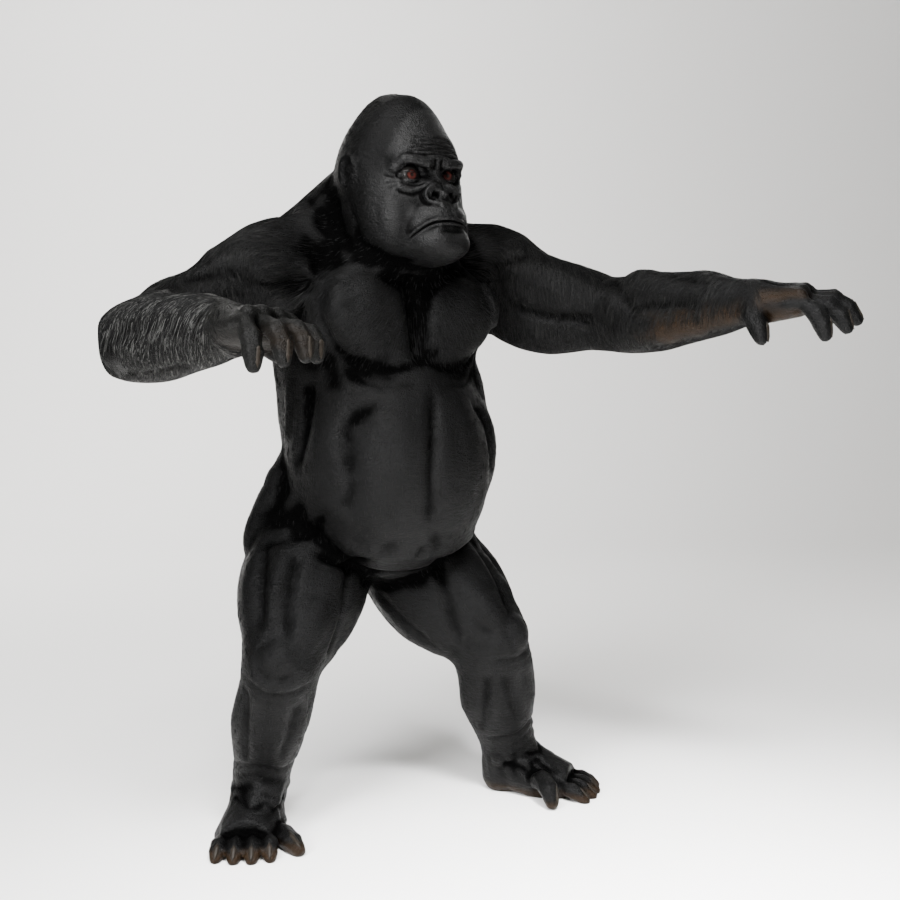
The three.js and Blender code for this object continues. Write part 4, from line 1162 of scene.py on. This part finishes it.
# %% Shape the eyes
IRIS_DEGREES = 24.0
GAZE = {LEFT: (-25, -100, 4), RIGHT: (-21, -100, 4)}
eyes = []
for side, word in SIDES.items():
    bpy.ops.mesh.primitive_uv_sphere_add(segments=64, ring_count=48, radius=EYE_RADIUS / 1000)
    eye = bpy.context.object
    eye.name = f"eyeball_{word}"
    gaze = unit(in_head(*GAZE[side]) - in_head(0, 0, 0))
    middle = in_head(side * (EYE_SIDE[side] + 1.5), EYE_SET_BACK, EYE_UP[side])
    ball = read_vertices(eye.data)
    polar = np.degrees(np.arccos(np.clip(unit(ball)[:, 2], -1, 1)))
    # The iris is a shallow dish behind the cornea, so the ball is flattened a little there.
    ball *= (1 - 0.012 * fade(polar, IRIS_DEGREES, IRIS_DEGREES - 4))[:, None]
    write_vertices(eye.data, ball)
    rings = eye.data.attributes.new("ring", "FLOAT", "POINT")
    rings.data.foreach_set("value", polar / 90)
    turn = Vector((0, 0, 1)).rotation_difference(Vector(gaze)).to_matrix().to_4x4()
    eye.data.transform(Matrix.Translation(Vector(middle)) @ turn)
    bpy.ops.object.shade_smooth()
    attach(eye, "root")
    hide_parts(f"eye_{word}")
    eyes.append(eye)
bpy.ops.object.select_all(action="DESELECT")
print("eyes:", [eye.name for eye in eyes])

# %% Shape the nails
nail_nodes = [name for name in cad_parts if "_nail_" in name]
nails = join_copies(nail_nodes, "nails")
NAIL_VOXEL, NAIL_SWELL = 0.0012, 0.0016
apply_modifier(nails, "REMESH", mode="VOXEL", voxel_size=NAIL_VOXEL)
nail_points = smoothed(read_vertices(nails.data), read_edges(nails.data), 0.6, 10)
write_vertices(nails.data, nail_points)
write_vertices(nails.data, read_vertices(nails.data) + read_normals(nails.data) * NAIL_SWELL)
apply_modifier(nails, "DECIMATE", ratio=0.5)
nails.data.polygons.foreach_set("material_index", np.zeros(len(nails.data.polygons), dtype=np.int32))
nails.select_set(True)
bpy.ops.object.shade_smooth()
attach(nails, "root")
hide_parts(*nail_nodes)
bpy.ops.object.select_all(action="DESELECT")
print("nails:", len(nails.data.polygons), "triangles")

# %% [markdown]
# ## Markings
#
# Skin and coat share their markings, so both ask the same function. It says for any point how brown,
# how grey and how haired it is: bare brown hide on the palms, soles and the inside of the forearm, and
# a silver cast on the right forearm. The skin keeps the answers as attributes, which its material reads.
# One attribute more says how deep in a fold each point lies, and the hide is darkened there as painted shade.

# %% Angles, bands and waves


def limb_angles(part, side, points):
    """Degrees round a limb, share along it, and metres from its middle line."""
    limb = LIMBS[part, side]
    q = in_limb(limb, points)
    radius = np.hypot(q[:, 0], q[:, 1])
    return np.degrees(np.arctan2(q[:, 0], q[:, 1])), q[:, 2] / limb["length"], radius


def around(angle, centre, half):
    """1 within half degrees of the centre, fading out over as much again."""
    gap = np.abs((angle - centre + 180) % 360 - 180)
    return fade(gap, half * 1.6, half * 0.6)


def waver(points, scale):
    """A slow wave in space, between -1 and 1, that keeps borders from running straight."""
    x, y, z = (points * scale).T
    return (np.sin(x * 1.7 + 1.3 * np.sin(z * 1.1)) + np.sin(y * 1.9 + 2 + np.sin(x * 1.3))
            + np.sin(z * 2.3 + 4)) / 3


print("a wave along one metre:", np.round(waver(np.linspace([0, 0, 0], [0, 0, 1], 5), 40), 2))

# %% Where the body is brown, grey or bare


def markings(points):
    """The marks of skin and coat at each point, all from 0 to 1, with the regions' masks."""
    masks = region_masks(points)
    brown = np.zeros(len(points))
    wave = waver(points, 40) * 0.12
    for side in (LEFT, RIGHT):
        angle, along, radius = limb_angles("hand", side, points)
        reach = fade(along, 0.85, 0.7) if side == LEFT else 0.25
        palm = around(angle, 0, 60) * masks["hand"] * fade(along, -0.1, 0.1) * reach
        brown = np.maximum(brown, palm * fade(radius, 0.07, 0.06))
        q = in_limb(LIMBS["foot", side], points)
        sole = fade(q[:, 1] + wave * 0.05, 0.03, 0.014) * masks["foot"]
        brown = np.maximum(brown, sole)
    angle, along, radius = limb_angles("forearm", LEFT, points)
    near = fade(radius, 0.13, 0.11)
    inner = around(angle + wave * 100, 55, 26) * fade(along + wave, 0.3, 0.5)
    inner = inner * fade(along, 1.08, 0.98) * near
    angle, along, radius = limb_angles("hand", LEFT, points)
    edge = around(angle, 75, 36) * fade(along, 0.1, 0.3) * fade(along, 1.15, 0.9) * masks["hand"]
    edge = edge * fade(radius, 0.07, 0.06)
    brown = np.maximum(brown, np.maximum(inner, edge))
    angle, along, radius = limb_angles("forearm", RIGHT, points)
    near = fade(radius, 0.13, 0.11)
    grey = near * fade(along, -0.02, 0.15) * fade(along, 1.15, 0.95)
    elbow = around(angle, -70, 26) * fade(np.abs(along - 0.16), 0.14, 0.08) * near
    grey = grey * (0.35 + 0.65 * around(angle, -85, 75)) * (1 - elbow)
    angle, along, radius = limb_angles("hand", RIGHT, points)
    ash = masks["hand"] * (points[:, 0] < MIDLINE) * 0.55
    grey = np.clip(np.maximum(grey, ash * fade(along, -0.2, 0.3)), 0, 1)
    bare = masks["face"] * 1.7 + masks["brow"] + masks["ear"] + masks["foot"] + masks["hand"]
    hair = 1 - np.clip(bare, 0, 1)
    hair = np.clip(hair * (1 - brown) * (1 - elbow), 0, 1)
    return {"brown": np.clip(brown, 0, 1), "grey": grey, "hair": hair,
            "naked": np.maximum(masks["face"], masks["brow"]), **masks}


skin_points = read_vertices(skin.data)
skin_marks = markings(skin_points)
print("brown share of the skin:", round(float((skin_marks["brown"] > 0.5).mean()), 3))

# %% Paint the skin


def put_attribute(mesh, name, values):
    attribute = mesh.attributes.new(name, "FLOAT", "POINT")
    attribute.data.foreach_set("value", np.asarray(values, dtype=np.float32))


def hollows():
    """Above 0 in folds and between muscles, below 0 on crests: how far the smoothed skin lies outside."""
    points, normals, edges = read_vertices(skin.data), read_normals(skin.data), read_edges(skin.data)
    fine = np.sum((smoothed(points, edges, 0.6, 8) - points) * normals, axis=1) / 0.0005
    broad = np.sum((smoothed(points, edges, 0.9, 120) - points) * normals, axis=1) / 0.005
    both = np.clip(fine, -1, 1) * 0.6 + np.clip(broad, -1, 1) * 0.45
    return smoothed(both[:, None], edges, 0.5, 2)[:, 0]


for name in ("brown", "grey", "hair", "naked"):
    put_attribute(skin.data, name, skin_marks[name])
put_attribute(skin.data, "hollow", hollows())
print("markings painted")

# %% [markdown]
# ## Hide, horn and eye
#
# Gorilla hide is black leather with a satin shine that comes from its grain of fine pebbles and
# creases. A pattern's scale counts its cells in a metre, so 330 is a pebble of 3 mm, 60 a crease of
# 17 mm and 9 a cloud of 110 mm. Strong lights and a dark animal ask for colours that look black even
# as hex values. The marks choose the colour, and the folds darken it with painted shade and choose how
# much it shines.

# %% The colour of the hide
# Leather with a satin shine: weak, wide highlights that roll over each muscle.
CLOUDS, CREASES, PEBBLES, PORES = 9.0, 60.0, 330.0, 420.0
hide, hide_shader = new_material("black leathery hide", Roughness=0.42, IOR=1.4)
spot_of = add_node(hide, "ShaderNodeTexCoord").outputs["Object"]
clouds = add_node(hide, "ShaderNodeTexNoise", {"Vector": spot_of}, Scale=CLOUDS, Detail=4.0, Roughness=0.6)
# Creases run level round the body, so their pattern is squeezed in height.
level = add_node(hide, "ShaderNodeMapping", {"Vector": spot_of}, Scale=(1, 1, 3)).outputs["Vector"]
folds = add_node(hide, "ShaderNodeTexNoise", {"Vector": level}, Scale=CREASES, Detail=5.0, Roughness=0.65)
furred = add_node(hide, "ShaderNodeValToRGB", {"Fac": clouds.outputs["Fac"]},
                  stops=[(0.3, "#020202"), (0.55, "#040404"), (0.75, "#060606")])
bald = add_node(hide, "ShaderNodeValToRGB", {"Fac": folds.outputs["Fac"]},
                stops=[(0.35, "#060606"), (0.7, "#0d0d0d")])
tan = add_node(hide, "ShaderNodeValToRGB", {"Fac": folds.outputs["Fac"]},
               stops=[(0.3, "#110b05"), (0.7, "#1c1208")])
ashen = add_node(hide, "ShaderNodeRGB").outputs["Color"]
ashen.default_value = srgb("#0c0c0b")
shade = furred.outputs["Color"]
for name, paint in (("naked", bald.outputs["Color"]), ("grey", ashen), ("brown", tan.outputs["Color"])):
    share = add_node(hide, "ShaderNodeAttribute", attribute_name=name).outputs["Fac"]
    shade = add_node(hide, "ShaderNodeMix", {0: share, 6: shade, 7: paint}, data_type="RGBA").outputs[2]
# Painted shade: the hollows are darkened towards near black, where shade would fall.
hollow = add_node(hide, "ShaderNodeAttribute", attribute_name="hollow").outputs["Fac"]
depth = add_node(hide, "ShaderNodeMapRange", {"Value": hollow}, From_Min=0.0, From_Max=0.7,
                 To_Min=0.0, To_Max=0.7)
painted_shade = add_node(hide, "ShaderNodeMix", {0: depth.outputs["Result"], 6: shade}, data_type="RGBA")
painted_shade.inputs[7].default_value = srgb("#010101")
hide.node_tree.links.new(painted_shade.outputs[2], hide_shader.inputs["Base Color"])
print("nodes for the colour:", len(hide.node_tree.nodes))

# %% The shine and relief of the hide
# Grease and wear polish the crests, and hollows stay dull.
polish = add_node(hide, "ShaderNodeMapRange", {"Value": hollow}, From_Min=-0.6, From_Max=0.4,
                  To_Min=0.10, To_Max=0.005)
# Bare skin shines more than skin under hair.
naked = add_node(hide, "ShaderNodeAttribute", attribute_name="naked").outputs["Fac"]
extra = add_node(hide, "ShaderNodeMath", {0: naked, 1: polish.outputs["Result"]}, operation="MULTIPLY")
gleam = add_node(hide, "ShaderNodeMath", {0: extra.outputs["Value"], 1: polish.outputs["Result"]},
                 operation="ADD")
rough = add_node(hide, "ShaderNodeMapRange", {"Value": folds.outputs["Fac"]}, From_Min=0.3, From_Max=0.7,
                 To_Min=0.35, To_Max=0.5)
# Creases, pebbles and pores lie on one another. Strength is how far each shows, distance its height.
grain = add_node(hide, "ShaderNodeTexVoronoi", {"Vector": spot_of}, Scale=PEBBLES)
fine = add_node(hide, "ShaderNodeTexNoise", {"Vector": spot_of}, Scale=PORES, Detail=3.0)
bump = None
for source, strength, distance in ((folds.outputs["Fac"], 0.7, 0.005),
                                   (grain.outputs["Distance"], 0.7, 0.0015),
                                   (fine.outputs["Fac"], 0.3, 0.0008)):
    under = {"Normal": bump} if bump else {}
    bump = add_node(hide, "ShaderNodeBump", {"Height": source, **under}, Strength=strength,
                    Distance=distance).outputs["Normal"]
for socket, output in (("Roughness", rough.outputs["Result"]), ("Specular IOR Level", gleam.outputs["Value"]),
                       ("Normal", bump)):
    hide.node_tree.links.new(output, hide_shader.inputs[socket])
skin.data.materials.append(hide)
print("nodes for the hide:", len(hide.node_tree.nodes))

# %% Wet eyes
# The wet cornea is a thin clear coat, which gives the eye its small sharp highlight. The rings of the
# iris are a ramp over the ball's own angle, and fine noise frays them.
iris, iris_shader = new_material("wet eye", Roughness=0.3, IOR=1.38, Specular_IOR_Level=0.08,
                                 Coat_Weight=0.04, Coat_Roughness=0.06)
spot_of = add_node(iris, "ShaderNodeTexCoord").outputs["Object"]
spokes = add_node(iris, "ShaderNodeTexNoise", {"Vector": spot_of}, Scale=700.0, Detail=4.0)
ring = add_node(iris, "ShaderNodeAttribute", attribute_name="ring").outputs["Fac"]
stir = add_node(iris, "ShaderNodeMath", {0: spokes.outputs["Fac"], 2: ring}, operation="MULTIPLY_ADD")
stir.inputs[1].default_value = 0.05
rings = add_node(iris, "ShaderNodeValToRGB", {"Fac": stir.outputs["Value"]},
                 stops=[(0.08, "#020101"), (0.115, "#090403"), (0.14, "#2a110e"), (0.23, "#331613"),
                        (0.29, "#190a08"), (0.325, "#040202"), (0.36, "#151413"), (0.6, "#0f0e0d")])
iris.node_tree.links.new(rings.outputs["Color"], iris_shader.inputs["Base Color"])
for eye in eyes:
    eye.data.materials.append(iris)
print("iris:", iris.name)

# %% Grey horn
# Horn is duller and a little browner than the hide, with streaks 11 mm long.
horn, horn_shader = new_material("grey horn", Roughness=0.45, IOR=1.54, Specular_IOR_Level=0.06)
spot_of = add_node(horn, "ShaderNodeTexCoord").outputs["Object"]
streaks = add_node(horn, "ShaderNodeTexNoise", {"Vector": spot_of}, Scale=90.0, Detail=3.0)
layers = add_node(horn, "ShaderNodeValToRGB", {"Fac": streaks.outputs["Fac"]},
                  stops=[(0.3, "#12100d"), (0.7, "#1e1a16")])
horn.node_tree.links.new(layers.outputs["Color"], horn_shader.inputs["Base Color"])
nails.data.materials.append(horn)
print("horn:", horn.name)

# %% [markdown]
# ## The lie of the coat
#
# Short hair shows as fine strokes that all lean one way. The function below says which way at any
# point: back over the crown, down the neck and back, out from the breastbone, and round the arms
# towards the elbow.

# %% Hair directions


def flow(points, normals):
    """The direction that the hair lies in at each point, along the skin."""
    h = head_coordinates(points)
    out = np.tile([0.0, 0.0, -1.0], (len(points), 1))
    lateral = points[:, 0] - MIDLINE
    height = (points[:, 2] - ORIGIN[2]) * 1000
    # Trunk: out from the top of the breastbone in front, down and a little out behind.
    away = points - place(12, -150, 1250)
    away[:, 1] = 0
    front = fade(normals[:, 1], 0.2, -0.3) * fade(height, 930, 1010)
    out = out * (1 - front[:, None]) + unit(away) * front[:, None]
    out[:, 0] += np.sign(lateral) * 0.35 * fade(normals[:, 1], -0.2, 0.5)
    # Head: back over the crown and down the cheeks.
    on_head = fade(np.linalg.norm((h - [0, 100, 20]) / [1, 1.1, 1.35], axis=1), 190, 165)
    over = np.tile([-math.sin(HEAD_TURN), math.cos(HEAD_TURN), -0.5], (len(points), 1))
    out = out * (1 - on_head[:, None]) + over * on_head[:, None]
    # Limbs: round the arms, down the legs.
    for side in (LEFT, RIGHT):
        for part, swirl, reach in (("upper_arm", 1.0, 0.16), ("forearm", 1.0, 0.13), ("thigh", 0.25, 0.17),
                                   ("shin", 0.15, 0.13), ("hand", 0.9, 0.1), ("foot", 0.2, 0.16)):
            limb = LIMBS[part, side]
            q = in_limb(limb, points)
            radius = np.hypot(q[:, 0], q[:, 1])
            share = q[:, 2] / limb["length"]
            start = 0.05 if part in ("upper_arm", "thigh") else -0.1
            near = fade(radius, reach, reach * 0.85)
            near = near * fade(share, start, start + 0.2) * fade(share, 1.25, 1.05)
            z = limb["axes"][2]
            # Hair on the arms falls round them, and on the forearm it points back to the elbow.
            falling = unit(np.array([0, 0, -1.0]) - np.outer(-z[2] * np.ones(len(points)), z))
            way = swirl * falling + (-0.45 * z if part == "forearm" else 0.35 * z)
            if part in ("thigh", "shin", "foot"):
                way = z + 0.15 * falling
            out = out * (1 - near[:, None]) + way * near[:, None]
    out = out - normals * np.sum(out * normals, axis=1, keepdims=True)
    return unit(out + 1e-9)


skin_normals = read_normals(skin.data)
mean_flow = flow(skin_points, skin_normals).mean(axis=0)
print("hair leans, on the whole:", np.round(mean_flow, 2))

# %% [markdown]
# ## Tufts
#
# A tuft is a thin closed blade of twelve triangles. Its root is sunk in the skin and its tip almost
# touches it, so the tufts overlap like shingles and catch the light along their backs. Roots fall by
# chance, but more of them where the coat is long. Each tuft then grows in three steps: a step along
# the flow, and back onto the skin. A fixed seed makes every run plant the same coat.

# %% Where the coat is long


def shaggy(points, on_head):
    """1 where the coat is long enough to show its streaks: on the shoulders, chest and arms."""
    height = (points[:, 2] - ORIGIN[2]) * 1000
    longest = fade(height, 1000, 1080) * 0.4
    for part in ("upper_arm", "forearm"):
        for side in (LEFT, RIGHT):
            _, along, radius = limb_angles(part, side, points)
            longest = np.maximum(longest, fade(radius, 0.17, 0.14) * fade(along, -0.3, 0.0))
    jaw = fade(np.linalg.norm(head_coordinates(points) - [0, 60, -70], axis=1), 250, 190)
    return longest * (1 - 0.8 * np.maximum(on_head, jaw))


is_long = shaggy(skin_points, skin_marks["head"]) > 0.5
print("long-haired share of the skin:", round(float(is_long.mean()), 2))

# %% Choose the roots
rng = np.random.default_rng(7)
TUFTS = 48000
tree = skin_tree()
mesh = skin.data
mesh.calc_loop_triangles()
corner = np.empty(len(mesh.loop_triangles) * 3, dtype=np.int64)
mesh.loop_triangles.foreach_get("vertices", corner)
corner = corner.reshape(-1, 3)
a, b, c = (skin_points[corner[:, k]] for k in range(3))
areas = np.linalg.norm(np.cross(b - a, c - a), axis=1) / 2
silver = skin_marks["grey"][corner].mean(axis=1)
haired = skin_marks["hair"][corner].mean(axis=1)
middles = skin_points[corner].mean(axis=1)
long_haired = shaggy(middles, skin_marks["head"][corner].mean(axis=1))
wanted = areas * haired * (0.1 + 0.9 * long_haired) * (0.8 + 0.3 * silver)
picked = rng.choice(len(corner), TUFTS, p=wanted / wanted.sum())
u, v = rng.random(TUFTS), rng.random(TUFTS)
flip = u + v > 1
u[flip], v[flip] = 1 - u[flip], 1 - v[flip]
roots = a[picked] + (b[picked] - a[picked]) * u[:, None] + (c[picked] - a[picked]) * v[:, None]
root_normals = unit(skin_normals[corner[picked]].mean(axis=1))
marks = markings(roots)
long_haired = shaggy(roots, marks["head"])
length = (0.016 + 0.03 * long_haired + 0.014 * marks["grey"]) * (1 - 0.3 * marks["head"])
length *= 0.7 + 0.6 * rng.random(TUFTS)
breadth = (0.0004 + 0.0005 * rng.random(TUFTS)) * (1 - 0.3 * marks["head"])
print("tufts rooted:", TUFTS, "from", round(float(length.min()) * 1000), "to",
      round(float(length.max()) * 1000), "mm long")

# %% Grow the tufts
STEPS = 3
spine = [roots - root_normals * 0.0006]
spine_normals = [root_normals]
heading = flow(roots, root_normals) + 0.12 * rng.standard_normal((TUFTS, 3))
heading = unit(heading - root_normals * np.sum(heading * root_normals, axis=1, keepdims=True))
at, up = roots.copy(), root_normals.copy()
for k in range(STEPS):
    turned = flow(at, up) * 0.5 + heading * 0.5
    heading = unit(turned - up * np.sum(turned * up, axis=1, keepdims=True))
    goal = at + heading * (length / STEPS)[:, None]
    found = np.empty_like(goal)
    faced = np.empty_like(goal)
    for i, p in enumerate(goal):
        hit = tree.find_nearest(p)
        found[i], faced[i] = hit[0], hit[1]
    at = found
    up = unit(up * 0.4 + faced * 0.6)
    spine.append(at)
    spine_normals.append(up)
print("steps grown:", STEPS)

# %% [markdown]
# ## From tufts to meshes
#
# Each tuft needs a place on a picture of the whole body, so that a baked coat can keep its markings. The
# map rolls each limb out on its own tile, and a tuft gets a patch of 3 thousandths of the map at its
# root's place. The tufts are then built all at once as arrays of corners and faces, in pieces small
# enough for one mesh.

# %% A map of the body


USUAL_RADIUS = {"upper_arm": 0.1, "forearm": 0.085, "hand": 0.07, "thigh": 0.125, "shin": 0.085,
                "foot": 0.1}


def unwrap(points):
    """A plain map of the body: each part rolled out on its own tile, in steps of the whole map."""
    tiles = [("trunk", LEFT), ("head", LEFT)] + list(LIMBS)
    best = np.full(len(points), np.inf)
    out = np.zeros((len(points), 2))
    for index, (part, side) in enumerate(tiles):
        if part == "trunk":
            q = points - TRUNK_FOOT
            angle = np.degrees(np.arctan2(q[:, 0], -q[:, 1]))
            along = q[:, 2] / (TRUNK_TOP[2] - TRUNK_FOOT[2])
            past_end = np.maximum(0, np.abs(along - 0.5) - 0.55)
            score = np.linalg.norm(q[:, :2], axis=1) / 0.23 + 4 * past_end
            along = along * 0.8 + 0.1
        elif part == "head":
            h = head_coordinates(points) - [0, 100, 10]
            angle = np.degrees(np.arctan2(h[:, 0], -h[:, 1]))
            along = h[:, 2] / 420 + 0.5
            score = np.linalg.norm(h / [125, 150, 190], axis=1)
        else:
            angle, along, radius = limb_angles(part, side, points)
            score = radius / USUAL_RADIUS[part] + 4 * np.maximum(0, np.abs(along - 0.5) - 0.5)
            along = along * 0.6 + 0.2
        better = score < best
        best[better] = score[better]
        column, row = index % 4, index // 4
        uv = np.stack([(column + 0.04 + 0.92 * (angle / 360 + 0.5)) / 4,
                       (row + 0.04 + 0.92 * np.clip(along, 0, 1)) / 4], axis=1)
        out[better] = uv[better]
    return out


root_uv = unwrap(roots)
print("the map is used from", root_uv.min(axis=0).round(2), "to", root_uv.max(axis=0).round(2))

# %% Build the tufts
PIECES = 5
PATCH = 0.003
# How broad a blade is at its root, at a third and two thirds of its length, and at its tip.
TAPER = [0, 1.0, 0.75, 0]
# A blade's corners: its root, a left, right and ridge point at a third and at two thirds, and its tip.
BLADE = np.array([(0, 3, 1), (0, 2, 3), (0, 1, 2),
                  (1, 3, 6), (1, 6, 4), (3, 2, 5), (3, 5, 6), (2, 1, 4), (2, 4, 5),
                  (4, 6, 7), (6, 5, 7), (5, 4, 7)])
ON_PATCH = np.array([(-0.5, -0.5), (0.5, -0.5), (0.5, 0.5), (-0.5, 0.5), (0, 0.5), (0, -0.5), (0.5, 0),
                     (0, 0)]) * PATCH
parts = np.array_split(np.argsort(roots[:, 0] * 3 + roots[:, 2] * 0.5), PIECES)
coat = []
for number, chosen in enumerate(parts):
    count = len(chosen)
    # A long tuft bridges a round arm, so its back stands higher.
    rise = (0.0004 + 0.012 * length[chosen])[:, None]
    rows = [spine[0][chosen]]
    for k in (1, 2):
        direction = unit(spine[k + 1][chosen] - spine[k - 1][chosen])
        upward = spine_normals[k][chosen]
        across = unit(np.cross(direction, upward)) * (breadth[chosen] * TAPER[k])[:, None]
        middle = spine[k][chosen]
        low = middle + upward * (rise - 0.0006)
        rows += [low - across, low + across, middle + upward * rise]
    rows.append(spine[3][chosen] + spine_normals[3][chosen] * 0.0002)
    verts = np.clip(np.stack(rows, axis=1).reshape(-1, 3), BOX_LOW, BOX_HIGH)
    faces = (BLADE[None] + (np.arange(count) * 8)[:, None, None]).reshape(-1, 3)
    mesh = bpy.data.meshes.new(f"coat_{number}")
    mesh.vertices.add(len(verts))
    mesh.vertices.foreach_set("co", verts.ravel())
    mesh.loops.add(faces.size)
    mesh.loops.foreach_set("vertex_index", faces.ravel().astype(np.int32))
    mesh.polygons.add(len(faces))
    mesh.polygons.foreach_set("loop_start", (np.arange(len(faces)) * 3).astype(np.int32))
    mesh.update(calc_edges=True)
    layer = mesh.uv_layers.new(name="OFBake")
    uv = (root_uv[chosen][:, None] + ON_PATCH[None]).reshape(-1, 2)
    layer.data.foreach_set("uv", uv[faces.ravel()].ravel().astype(np.float32))
    for name in ("grey", "brown"):
        put_attribute(mesh, name, np.repeat(marks[name][chosen], 8))
    chance = rng.random(count) * (0.6 + 0.4 * long_haired[chosen])
    put_attribute(mesh, "chance", np.repeat(chance, 8))
    piece = bpy.data.objects.new(f"coat_{number}", mesh)
    bpy.context.scene.collection.objects.link(piece)
    piece.select_set(True)
    bpy.context.view_layer.objects.active = piece
    bpy.ops.object.shade_smooth()
    piece.select_set(False)
    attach(piece, "root")
    coat.append(piece)
print("coat:", len(coat), "pieces,", sum(len(p.data.polygons) for p in coat), "triangles")

# %% Hair material
# Hair is a little silkier than the hide. Its own number between 0 and 1 gives each tuft its shade.
hair, hair_shader = new_material("short black hair", Roughness=0.45, IOR=1.4, Specular_IOR_Level=0.1)
chance = add_node(hair, "ShaderNodeAttribute", attribute_name="chance").outputs["Fac"]
dark = add_node(hair, "ShaderNodeValToRGB", {"Fac": chance},
                stops=[(0.0, "#040404"), (0.7, "#090909"), (1.0, "#1a1a19")])
light = add_node(hair, "ShaderNodeValToRGB", {"Fac": chance},
                 stops=[(0.0, "#040404"), (0.55, "#0b0b0b"), (0.85, "#262625"), (1.0, "#4a4a48")])
silver = add_node(hair, "ShaderNodeAttribute", attribute_name="grey").outputs["Fac"]
shade = add_node(hair, "ShaderNodeMix", {0: silver, 6: dark.outputs["Color"], 7: light.outputs["Color"]},
                 data_type="RGBA").outputs[2]
hair.node_tree.links.new(shade, hair_shader.inputs["Base Color"])
for piece in coat:
    piece.data.materials.append(hair)
print("materials:", [m.name for m in bpy.data.materials if m.users])

# %% [markdown]
# ## Finish
#
# The skin takes the place of every solid of flesh, and joins the one body that the animal is.

# %% Finish
bpy.ops.object.select_all(action="DESELECT")
skin.select_set(True)
bpy.context.view_layer.objects.active = skin
bpy.ops.object.shade_smooth()
bpy.ops.object.select_all(action="DESELECT")
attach(skin, "root")
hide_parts(*flesh)
print("the skin replaces", len(flesh), "solids")
